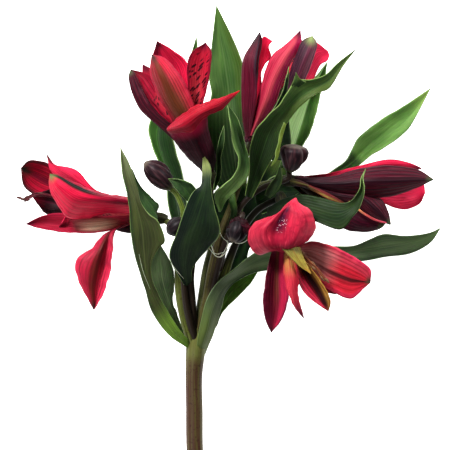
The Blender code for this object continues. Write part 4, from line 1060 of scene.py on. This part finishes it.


# the colour of the painted glints
PAINTED_GLINT = (0.85, 0.70, 0.74)
FLECK = (0.02, 0.002, 0.006)
CRIMSON = (0.48, 0.004, 0.034)
PINK = (0.70, 0.022, 0.085)
BLACKISH = (0.022, 0.002, 0.007)
MAROON = (0.070, 0.002, 0.012)
GREEN_TIP = (0.06, 0.09, 0.04)
PETALS = {
    "petal_face": Petal(CRIMSON, tip=GREEN_TIP),
    "petal_plain": Petal(CRIMSON, tip=(0.5, 0.01, 0.05), rib_share=0.3),
    "petal_deep": Petal((0.30, 0.002, 0.026), vein=(0.10, 0.001, 0.010), left=(0.016, 0.003, 0.007),
                        tip=(0.012, 0.02, 0.014), tip_start=0.8),
    "petal_dusk": Petal((0.11, 0.003, 0.020), vein=(0.025, 0.001, 0.006), rim=(0.012, 0.006, 0.014), tip_start=0.75,
                        tip=(0.012, 0.014, 0.016), right=(0.22, 0.003, 0.03)),
    "petal_dim": Petal((0.40, 0.005, 0.032), vein=(0.05, 0.001, 0.006), tip=(0.014, 0.024, 0.016), rib_width=0.3,
                       rim=(0.02, 0.012, 0.014), tip_start=0.86),
    "petal_shade": Petal((0.24, 0.012, 0.038), vein=(0.07, 0.003, 0.014), right=(0.13, 0.008, 0.030),
                         left=(0.44, 0.018, 0.065), rib=(0.11, 0.035, 0.018), rib_place=0.05, rib_width=0.34,
                         rib_share=0.8, rib_stops=((0.1, 1), (0.45, 0.9), (0.8, 0)), tip=(0.06, 0.010, 0.02),
                         painted_highlight=0.15, rim=(0.12, 0.006, 0.03)),
    "petal_split": Petal((0.66, 0.016, 0.070), vein=(0.24, 0.003, 0.02), left=(0.075, 0.001, 0.014),
                         rib=(0.2, 0.004, 0.02), rib_share=0.2, tip=(0.03, 0.004, 0.01)),
    "petal_red": Petal((0.38, 0.004, 0.020), base=(0.34, 0.005, 0.024), vein=(0.12, 0.001, 0.008), rib_share=0.3,
                       rib=(0.16, 0.001, 0.01), tip=(0.50, 0.006, 0.012), painted_highlight=0.5, vein_share=0.9,
                       right=(0.20, 0.002, 0.014)),
    "petal_pink": Petal(PINK, vein=(0.34, 0.004, 0.03), rib=(0.2, 0.003, 0.02), rib_share=0.4,
                        tip=(0.14, 0.02, 0.04)),
    "petal_lobe": Petal((0.62, 0.034, 0.095), vein=(0.30, 0.004, 0.03), rib_share=0.2, tip=(0.5, 0.014, 0.06)),
    # its pale salmon band down the middle is a painted highlight
    "petal_salmon": Petal((0.46, 0.028, 0.070), vein=(0.18, 0.006, 0.022), rib=(0.58, 0.11, 0.13),
                          rib_place=0.0, rib_width=0.5, rib_share=0.35, veins=13, right=(0.30, 0.004, 0.065),
                          base=(0.16, 0.004, 0.02), tip=(0.06, 0.006, 0.02)),
    "petal_olive": Petal((0.26, 0.010, 0.022), vein=(0.07, 0.010, 0.006), rib=(0.09, 0.028, 0.008), rib_width=0.4,
                         right=(0.50, 0.018, 0.05), throat=(0.13, 0.045, 0.018), veins=13, rim=(0.36, 0.02, 0.05)),
    "petal_flecked": Petal((0.40, 0.010, 0.034), vein=(0.20, 0.004, 0.014), rib=(0.22, 0.008, 0.02), rib_share=0.3,
                           tip=(0.10, 0.004, 0.02), throat=(0.44, 0.05, 0.06), rim=(0.12, 0.003, 0.016), flecks=0.95),
    "petal_cream": Petal((0.34, 0.008, 0.036), base=(0.26, 0.010, 0.03), vein=(0.16, 0.003, 0.014),
                         throat=(1.0, 0.74, 0.52), throat_stops=((0.14, 0), (0.36, 1), (0.60, 0)),
                         throat_width=(0.15, 0.95), base_reach=0.3, tip=(0.06, 0.003, 0.02), rib_share=0.2,
                         vein_share=0.7, rim=(0.30, 0.006, 0.035)),
    "petal_drop": Petal((0.23, 0.010, 0.020), vein=(0.09, 0.010, 0.010), left=(0.50, 0.024, 0.068),
                        right=(0.40, 0.014, 0.050), base=(0.13, 0.005, 0.016), tip=(0.05, 0.02, 0.02), veins=11,
                        rib=(0.085, 0.016, 0.010), rib_share=0.7, rib_width=0.26, mottle=0.7, painted_highlight=0.35,
                        rim=(0.58, 0.035, 0.09)),
    "petal_cap": Petal((0.55, 0.024, 0.062), base=(0.24, 0.006, 0.028), vein=(0.25, 0.006, 0.03), mottle=0.95,
                       rib=(0.045, 0.004, 0.024), rib_width=0.30, rib_share=0.95, rib_place=-0.02,
                       rib_stops=((0.30, 0), (0.48, 1), (0.74, 1), (0.92, 0)), left=(0.40, 0.022, 0.050),
                       tip=(0.6, 0.05, 0.09), veins=11, vein_share=0.6, rim=(0.62, 0.06, 0.10), painted_glints=0.9),
    "petal_gold": Petal((0.16, 0.004, 0.010), vein=(0.030, 0.004, 0.003), throat=(0.42, 0.26, 0.04),
                        throat_stops=((0.05, 1), (0.2, 0.8), (0.42, 0)), left=(0.40, 0.22, 0.045),
                        right=(0.50, 0.020, 0.060), veins=7, vein_share=0.9,
                        rib=(0.02, 0.002, 0.004), rib_place=-0.18, rib_width=0.62, rib_share=0.95, painted_highlight=0.2,
                        tip=(0.16, 0.03, 0.02)),
    "petal_dawn": Petal((0.62, 0.045, 0.075), vein=(0.34, 0.010, 0.03), rib=(0.3, 0.008, 0.03), rib_share=0.3,
                        throat=(0.52, 0.34, 0.08), throat_stops=((0.08, 0.9), (0.18, 0.6), (0.46, 0)),
                        throat_width=(0.5, 1.0), tip=(0.10, 0.006, 0.025), tip_start=0.6, left=(0.52, 0.02, 0.05)),
    # its pale pinkish-grey throat is a painted highlight, a sheen on the upper part of the petal
    "petal_right": Petal((0.56, 0.020, 0.042), vein=(0.20, 0.008, 0.014), rib=(0.05, 0.008, 0.010), rib_place=0.30,
                         rib_width=0.15, rib_share=0.9, rib_stops=((0.2, 0.2), (0.55, 1)), left=(0.46, 0.040, 0.072),
                         throat=(0.60, 0.30, 0.28), throat_stops=((0.1, 0.5), (0.3, 0.8), (0.62, 0)),
                         throat_width=(0.5, 0.95), base=(0.22, 0.11, 0.04), base_reach=0.35, veins=9, vein_share=0.5,
                         tip=(0.06, 0.05, 0.03), tip_start=0.90, rim=(0.60, 0.035, 0.10), painted_highlight=0.3),
    "petal_back": Petal(MAROON, base=BLACKISH, vein=(0.010, 0.002, 0.006), rib=(0.010, 0.003, 0.007), rib_width=0.3,
                        veins=9, vein_share=0.9, tip=GREEN_TIP, tip_start=0.92, painted_highlight=0.7),
    # a dark tepal greyed all over: partly its own maroon, partly a painted sheen
    "petal_grey": Petal((0.15, 0.030, 0.060), base=(0.10, 0.003, 0.02), vein=(0.030, 0.008, 0.018),
                        rib=(0.03, 0.012, 0.020), rib_width=0.28, rib_place=-0.25, veins=7, tip=(0.20, 0.26, 0.10),
                        left=(0.030, 0.008, 0.018)),
    "petal_tube": Petal((0.050, 0.002, 0.012), base=(0.016, 0.002, 0.006), vein=(0.010, 0.001, 0.004), veins=9,
                        rib=(0.014, 0.002, 0.006), vein_share=0.8, tip=(0.30, 0.004, 0.04), tip_start=0.72),
    "petal_throat": Petal((0.020, 0.001, 0.004), base=(0.05, 0.001, 0.008), vein=(0.006, 0.001, 0.002),
                          tip=(0.11, 0.002, 0.012), tip_start=0.6, painted_highlight=0.2),
    "petal_lime": Petal((0.34, 0.29, 0.055), base=(0.15, 0.14, 0.035), vein=(0.14, 0.07, 0.015),
                        rib=(0.22, 0.12, 0.025), rib_share=0.5, tip=(0.40, 0.22, 0.04), veins=7, vein_share=0.6,
                        rim=(0.22, 0.10, 0.03), tip_start=0.6),
    "petal_banded": Petal((0.055, 0.002, 0.014), base=(0.03, 0.02, 0.006), base_reach=0.5, vein=(0.010, 0.002, 0.005),
                          rib=(0.26, 0.10, 0.03), rib_place=-0.45, rib_width=0.22, rib_share=0.9,
                          rib_stops=((0.05, 0.5), (0.3, 1), (0.6, 0)), veins=7, tip=GREEN_TIP, tip_start=0.92),
    "petal_lip": Petal((0.60, 0.10, 0.10), base=(0.62, 0.40, 0.14), base_reach=0.6, vein=(0.40, 0.03, 0.05),
                       tip=(0.62, 0.08, 0.14), tip_start=0.6, rib_share=0.1, veins=3, vein_share=0.4),
    "petal_streak": Petal((0.22, 0.055, 0.022), base=(0.06, 0.045, 0.012), vein=(0.035, 0.006, 0.006),
                          tip=(0.09, 0.02, 0.012), tip_start=0.7, rib=(0.30, 0.24, 0.06), rib_place=0.35,
                          rib_width=0.4, rib_share=0.9, rib_stops=((0.25, 0), (0.5, 1), (0.9, 0.6)), veins=5,
                          left=(0.12, 0.010, 0.014)),
    "petal_root": Petal((0.060, 0.016, 0.012), base=(0.05, 0.055, 0.015), vein=(0.016, 0.006, 0.004), veins=7,
                        rib=(0.09, 0.08, 0.02), rib_width=0.5, rib_share=0.7, tip=(0.05, 0.004, 0.010)),
    "petal_stripe": Petal((0.13, 0.020, 0.012), base=(0.02, 0.022, 0.006), vein=(0.020, 0.008, 0.004),
                          rib=(0.22, 0.10, 0.02), rib_width=0.14, veins=5, vein_share=0.95, tip=(0.05, 0.003, 0.01)),
    "petal_pale_back": Petal((0.36, 0.010, 0.045), vein=MAROON, tip=(0.04, 0.03, 0.02)),
    "lobe_low": Petal((0.60, 0.008, 0.052), base=(0.10, 0.002, 0.018), base_reach=0.55, left=(0.62, 0.008, 0.052),
                      right=(0.26, 0.005, 0.030), rib=(0.010, 0.012, 0.010), rib_place=0.52, rib_width=0.34,
                      rib_share=1.0, rib_stops=((0.30, 0), (0.60, 1)), tip=(0.09, 0.15, 0.05),
                      vein=(0.22, 0.002, 0.016), vein_share=0.6),
}


def stem_material(name, skin, streak, dots, green_top=False, shade=None):
    """Smooth skin with long streaks and fine dots."""
    s = Shade(name, roughness=0.42, subsurface=0.03, radius=(0.6, 0.8, 0.3), specular=0.16)
    long = s.node("ShaderNodeMapping", {"Vector": s.uv, "Scale": (1.2, 9, 1)}).outputs[0]
    streaks = s.noise(long, 2.0, 3)
    specks = s.noise(s.place, 900.0, 2)
    broad = s.noise(s.place, 45.0, 2)
    colour = s.mix(s.ramp(streaks, (0.4, 0), (0.62, 1)), skin, streak)
    colour = s.mix(s.times(s.ramp(broad, (0.4, 0), (0.65, 1)), 0.5), colour, streak)
    colour = s.mix(s.times(s.ramp(specks, (0.56, 0), (0.66, 1)), 0.5), colour, dots)
    if shade is not None:
        dark, *stops = shade
        colour = s.mix(s.ramp(s.along, *stops), colour, dark)
    if green_top:
        top = s.times(s.ramp(s.along, (0.84, 0), (0.90, 1)), s.ramp(streaks, (0.3, 1), (0.7, 0.35)))
        colour = s.mix(top, colour, (0.15, 0.17, 0.045))
    return s.finish(colour, s.plus(streaks, s.times(specks, 0.3)), 0.25, 0.15)


def bud_material(name, skin, streak):
    """Dark skin with long streaks, greener at its foot and drier at its tip."""
    s = Shade(name, roughness=0.5, subsurface=0.03, specular=0.18)
    streaks = s.noise(s.node("ShaderNodeMapping", {"Vector": s.uv, "Scale": (2, 22, 1)}).outputs[0], 1.0, 3)
    colour = s.mix(s.ramp(streaks, (0.4, 0), (0.65, 1)), skin, streak)
    foot = s.ramp(s.along, (0.0, 1), (0.22, 0))
    colour = s.mix(s.times(foot, 0.8), colour, (0.055, 0.07, 0.022))
    end = s.ramp(s.along, (0.86, 0), (0.97, 1))
    colour = s.mix(s.times(end, 0.7), colour, (0.11, 0.085, 0.06))
    return s.finish(colour, streaks, 0.4, 0.2)


def plain_material(name, colour, other, roughness=0.5):
    """One colour clouded with another."""
    s = Shade(name, roughness=roughness, subsurface=0.1, specular=0.2)
    cloud = s.noise(s.place, 600.0, 2)
    return s.finish(s.mix(cloud, colour, other), cloud, 0.3, 0.1)


def make_materials():
    for name, look in LEAVES_LOOK.items():
        leaf_material(name, look)
    for name, look in PETALS.items():
        petal_material(name, look)
    stem_material("stem_brown", (0.070, 0.032, 0.020), (0.095, 0.078, 0.026), (0.035, 0.012, 0.012), True)
    stem_material("stem_green", (0.030, 0.034, 0.012), (0.075, 0.085, 0.026), (0.03, 0.015, 0.012))
    stem_material("stem_moss", (0.050, 0.055, 0.014), (0.12, 0.14, 0.030), (0.05, 0.02, 0.012))
    stem_material("stem_lime", (0.060, 0.085, 0.016), (0.15, 0.20, 0.035), (0.05, 0.05, 0.012),
                  shade=((0.020, 0.013, 0.008), (0.55, 1), (0.8, 0)))
    stem_material("stem_shaded", (0.050, 0.055, 0.014), (0.12, 0.14, 0.030), (0.05, 0.02, 0.012),
                  shade=((0.012, 0.010, 0.006), (0.42, 0), (0.58, 1)))
    stem_material("stem_olive", (0.035, 0.026, 0.012), (0.085, 0.075, 0.025), (0.03, 0.015, 0.010))
    stem_material("stem_dark", (0.016, 0.010, 0.009), (0.035, 0.024, 0.015), (0.02, 0.008, 0.010))
    stem_material("ovary_skin", (0.014, 0.014, 0.008), (0.038, 0.040, 0.014), (0.02, 0.008, 0.010))
    bud_material("bud_skin", (0.012, 0.004, 0.007), (0.050, 0.018, 0.022))
    bud_material("bud_black", (0.006, 0.003, 0.005), (0.020, 0.010, 0.013))
    plain_material("filament_red", (0.35, 0.02, 0.05), (0.5, 0.08, 0.10))
    plain_material("filament_dark", (0.10, 0.006, 0.015), (0.05, 0.004, 0.01))
    plain_material("filament_tan", (0.22, 0.07, 0.02), (0.09, 0.02, 0.01))
    plain_material("anther_tan", (0.20, 0.11, 0.05), (0.09, 0.045, 0.025), 0.75)
    plain_material("anther_dark", (0.05, 0.02, 0.02), (0.10, 0.04, 0.03), 0.75)
    # near-white hairs, partly a painted highlight, and a dimmer copy of them as painted shade
    plain_material("thread_pale", (0.95, 0.97, 0.86), (0.62, 0.66, 0.48), 0.5)
    plain_material("thread_shaded", (0.42, 0.46, 0.36), (0.20, 0.24, 0.14), 0.5)


def piece(name, surface, finishes, node, closed=False):
    """A shown piece that stands for a CAD node."""
    mesh = grid_mesh(name, surface, closed)
    for finish in finishes:
        mesh.materials.append(bpy.data.materials[finish])
    obj = bpy.data.objects.new(name, mesh)
    bpy.context.scene.collection.objects.link(obj)
    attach(obj, "root")
    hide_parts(node)
    return obj


def grid_mesh(name, surface, closed):
    """A smooth mesh of rows of points, with u down the rows and v across them."""
    rows, columns = surface.shape[:2]
    points = placed(surface).reshape(-1, 3)
    lanes = columns if closed else columns - 1
    quads, uvs = [], []
    for i in range(rows - 1):
        for j in range(lanes):
            k = (j + 1) % columns
            quads.append((i * columns + j, i * columns + k, (i + 1) * columns + k, (i + 1) * columns + j))
            low, high = i / (rows - 1), (i + 1) / (rows - 1)
            uvs += [(low, j / lanes), (low, (j + 1) / lanes), (high, (j + 1) / lanes), (high, j / lanes)]
    if closed:
        quads.append(tuple(reversed(range(columns))))
        uvs += [(0, 0.5)] * columns
        quads.append(tuple(range((rows - 1) * columns, rows * columns)))
        uvs += [(1, 0.5)] * columns
    mesh = bpy.data.meshes.new(name)
    mesh.from_pydata(points.tolist(), [], quads)
    layer = mesh.uv_layers.new(name="blade")
    layer.uv.foreach_set("vector", np.array(uvs, float).ravel())
    mesh.shade_smooth()
    return mesh


def shell_piece(name, surface, finish, thickness, node):
    """A thin piece: a surface thickened to both sides, with its rim in the material of its face."""
    obj = piece(name, surface, finish, node)
    shell = obj.modifiers.new("thickness", "SOLIDIFY")
    shell.thickness = thickness * MM
    shell.offset = 0
    shell.material_offset = 1
    shell.material_offset_rim = 0


def tube_surface(route, radius, thicknesses, rows, sides, ribs, grooves):
    """Rings of points round a smooth route, with the radius set along it.

    Ribs are (count, height) and grooves are (count, depth, turn), both as shares of the radius."""
    middle = spline(route, rows)
    run = unit(np.gradient(middle, axis=0))
    side = np.zeros_like(run)
    start = np.array((0.0, 0.0, 1.0)) if abs(run[0][2]) < 0.9 else np.array((1.0, 0.0, 0.0))
    for i, way in enumerate(run):
        start = unit(start - way * (start @ way))
        side[i] = start
    other = np.cross(run, side)
    share = np.linspace(0, 1, rows)
    if isinstance(thicknesses[0], tuple):
        wide = profile(thicknesses, share)
    else:
        wide = eased(thicknesses, share)
    angle = np.linspace(0, 2 * math.pi, sides, endpoint=False)
    ridge = 1 + ribs[1] * np.cos(ribs[0] * angle)
    wide = radius * wide[:, None] * ridge[None, :]
    count, depth, twist = grooves
    if count:
        turned = angle[None, :] + twist * share[:, None]
        sharp = np.abs(np.cos(count * turned / 2)) ** 14
        wide = wide * (1 - depth * sharp * np.sin(math.pi * share[:, None]) ** 0.5)
    return (middle[:, None] + side[:, None] * (wide * np.cos(angle))[..., None]
            + other[:, None] * (wide * np.sin(angle))[..., None])


def tube_piece(name, node, route, radius, thicknesses, finish, rows, sides, ribs=(0, 0), grooves=(0, 0, 0)):
    piece(name, tube_surface(route, radius, thicknesses, rows, sides, ribs, grooves), (finish,), node, closed=True)


def make_stem():
    """The stem, its rays and the ovary under each bloom."""
    tube_piece("stem_main", "stem", STEM, STEM_RADIUS, STEM_THICKNESS, "stem_brown", 120, 40, STEM_RIBS)
    for top, points in RAYS.items():
        if top in BLOOMS:
            low, high = ovary_ends(BLOOMS[top])
            tube_piece(f"ovary_{top}", "stem", (low, (low + high) / 2, high), OVARY_RADIUS, OVARY_SWELL,
                       "ovary_skin", 24, 36, OVARY_RIBS)
            ends = (low + unit(high - low) * OVARY_OVERLAP,)
            thickness = BLOOM_RAY_THICKNESS
        else:
            start, tip = np.array(BUDS[top][0], float)
            axis = unit(tip - start)
            ends = (start - axis * BUD_RAY_END, start - axis * CLEARANCE)
            thickness = BUD_RAY_THICKNESS
        tube_piece(f"ray_{top}", "stem", (*points, *ends), RAY_RADIUS, thickness, RAY_FINISH[top], 70, 20)


def stance(bloom):
    """Where the bloom's petals start, and the way it opens."""
    return np.array(bloom.base, float), unit(np.array(bloom.aim, float))


def ovary_ends(bloom):
    base, aim = stance(bloom)
    return base - aim * (OVARY_LENGTH + CLEARANCE), base - aim * CLEARANCE


def hidden_petal(bloom):
    """The petal behind the others, with its root in the cup, and the line that it opens about."""
    base, aim = stance(bloom)
    towards = np.array(bloom.hidden[0], float) - base
    radial = unit(towards - aim * (towards @ aim))
    root = base + aim * PETAL_RISE + radial * PETAL_RING
    blade = Blade((tuple(root), *bloom.hidden), bloom.half_width, cup=(60, 30), wave=(0.3, 1.5, 1),
                  outline=PETAL_OUTLINE, crinkle=0.3, finish=("petal_flecked", "petal_pale_back"))
    return blade, np.cross(aim, radial)


def stamen_routes(name):
    """A style and then its filaments, which leave the cup as a bundle and fan out a little."""
    bundle, spread, finish = STAMENS[name]
    for n in range(FILAMENTS + 1):
        angle = 2 * math.pi * n / FILAMENTS + 0.4
        shown = bundle[:len(bundle) - n % 3]
        route = []
        for k, (x, y, z) in enumerate(shown):
            fan = (0.35 + 0.65 * k / (len(bundle) - 1)) * spread * (n > 0)
            route.append((x + fan * math.cos(angle) / STEP * 0.8, y + fan * math.sin(angle) / STEP * 0.8,
                          z + fan * math.sin(angle + 1.1) * 0.8))
        yield from_grid(route), finish


def make_stamens(name):
    for n, (route, finish) in enumerate(stamen_routes(name)):
        tube_piece(f"{name}_filament_{n}", name, route, FILAMENT_RADIUS, FILAMENT_THICKNESS, finish, 30, 8)
        if n:
            tip, before = route[-1], route[-2]
            way = unit(tip - before)
            tube_piece(f"{name}_anther_{n}", name, (tip - way * 2.6, tip - way, tip + way * 0.6), ANTHER_RADIUS,
                       ANTHER_SWELL, ANTHERS[finish], 12, 10)


def make_bloom(name, bloom, seed):
    base, aim = stance(bloom)
    tube_piece(f"{name}_cup", name, (base - aim * 1.5, base + aim * 2, base + aim * 4.5), CUP_RADIUS, CUP_SWELL,
               "petal_back", 12, 30)
    for n in range(SHEET_PETALS):
        sheet = PETAL_SHEETS[name, n]
        surface = sheet_surface(sheet, PETAL_CELLS, seed + n)
        shell_piece(f"{name}_petal_{n}", surface, sheet.finish, PETAL_THICKNESS, name)
    blade, hinge = hidden_petal(bloom)
    surface = blade_surface(blade, PETAL_CELLS, seed + SHEET_PETALS, hinge)
    shell_piece(f"{name}_petal_{SHEET_PETALS}", surface, blade.finish, PETAL_THICKNESS, name)
    make_stamens(name)


def make_bud(name, ends, radius):
    start, end = np.array(ends, float)
    route = (start, (start + end) / 2 + np.array(BUD_BEND), end)
    finish = "bud_black" if name in DARK_BUDS else "bud_skin"
    tube_piece(f"{name}_body", name, route, radius, BUD_SHAPES.get(name, BUD_SWELL), finish, 64, 96, BUD_RIBS,
               BUD_GROOVES)


def make_leaf(name, leaf, seed):
    cells = BRACT_CELLS if name.startswith("bract") else LEAF_CELLS
    lay = sheet_surface if isinstance(leaf, Sheet) else blade_surface
    shell_piece(f"{name}_blade", lay(leaf, cells, seed), leaf.finish, LEAF_THICKNESS, name)


def make_threads():
    for n, points in enumerate(THREADS):
        radius, finish = (FINE_THREAD_RADIUS, "thread_shaded") if n in FINE_THREADS else (THREAD_RADIUS, "thread_pale")
        tube_piece(f"thread_{n}", "bud_centre", from_grid(points), radius, THREAD_THICKNESS, finish, 24, 6)


def make_table():
    bpy.ops.mesh.primitive_plane_add(size=TABLE_SIZE, location=(0, 0, 0))
    floor = bpy.context.object
    floor.name = "table_top"
    s = Shade("table_white", roughness=0.9, specular=0.1)
    s.shader.inputs["Emission Color"].default_value = (1, 1, 1, 1)
    s.shader.inputs["Emission Strength"].default_value = TABLE_GLOW
    cloud = s.noise(s.place, 3.0, 2)
    floor.data.materials.append(s.finish(s.mix(cloud, (0.82, 0.82, 0.82), (0.84, 0.84, 0.84))))


def make_light():
    world = bpy.data.worlds.new("studio")
    bpy.context.scene.world = world
    world.use_nodes = True
    world.node_tree.nodes["Background"].inputs["Color"].default_value = (1, 1, 1, 1)
    world.node_tree.nodes["Background"].inputs["Strength"].default_value = SKY_GLOW
    for name, (place, size, power) in LAMPS.items():
        light = bpy.data.lights.new(name, "AREA")
        light.size = size
        light.energy = power
        lamp = bpy.data.objects.new(name, light)
        lamp.location = place
        lamp.rotation_euler = (-Vector(place)).to_track_quat("-Z", "Y").to_euler()
        bpy.context.scene.collection.objects.link(lamp)
    bpy.context.scene.view_settings.view_transform = "Standard"
    bpy.context.scene.view_settings.gamma = GAMMA
    bpy.context.scene.view_settings.exposure = EXPOSURE


def make_camera():
    camera = bpy.data.cameras.new("eye")
    camera.lens = LENS
    camera.sensor_width = SENSOR
    eye = bpy.data.objects.new("eye", camera)
    eye.location = (-ORIGIN[0] * MM, -ORIGIN[1] * MM, EYE_HEIGHT * MM)
    bpy.context.scene.collection.objects.link(eye)
    bpy.context.scene.camera = eye


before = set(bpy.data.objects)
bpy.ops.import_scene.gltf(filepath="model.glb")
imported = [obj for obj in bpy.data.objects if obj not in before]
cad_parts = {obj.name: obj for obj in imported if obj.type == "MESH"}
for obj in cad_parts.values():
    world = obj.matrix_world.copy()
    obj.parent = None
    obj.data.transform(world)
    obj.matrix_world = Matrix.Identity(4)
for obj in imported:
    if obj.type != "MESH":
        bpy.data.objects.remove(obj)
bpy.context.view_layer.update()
make_camera()
make_materials()
make_stem()
for seed, (name, bloom) in enumerate(BLOOMS.items()):
    make_bloom(name, bloom, 7 * seed)
for name, (ends, radius) in BUDS.items():
    make_bud(name, ends, radius)
for seed, (name, leaf) in enumerate(LEAVES.items()):
    make_leaf(name, leaf, seed)
for seed, (name, (node, sheet)) in enumerate(FOLDS_AND_SHADE_SHEETS.items()):
    shell_piece(name, sheet_surface(sheet, BRACT_CELLS, seed), sheet.finish, PETAL_THICKNESS, node)
make_threads()
make_table()
make_light()
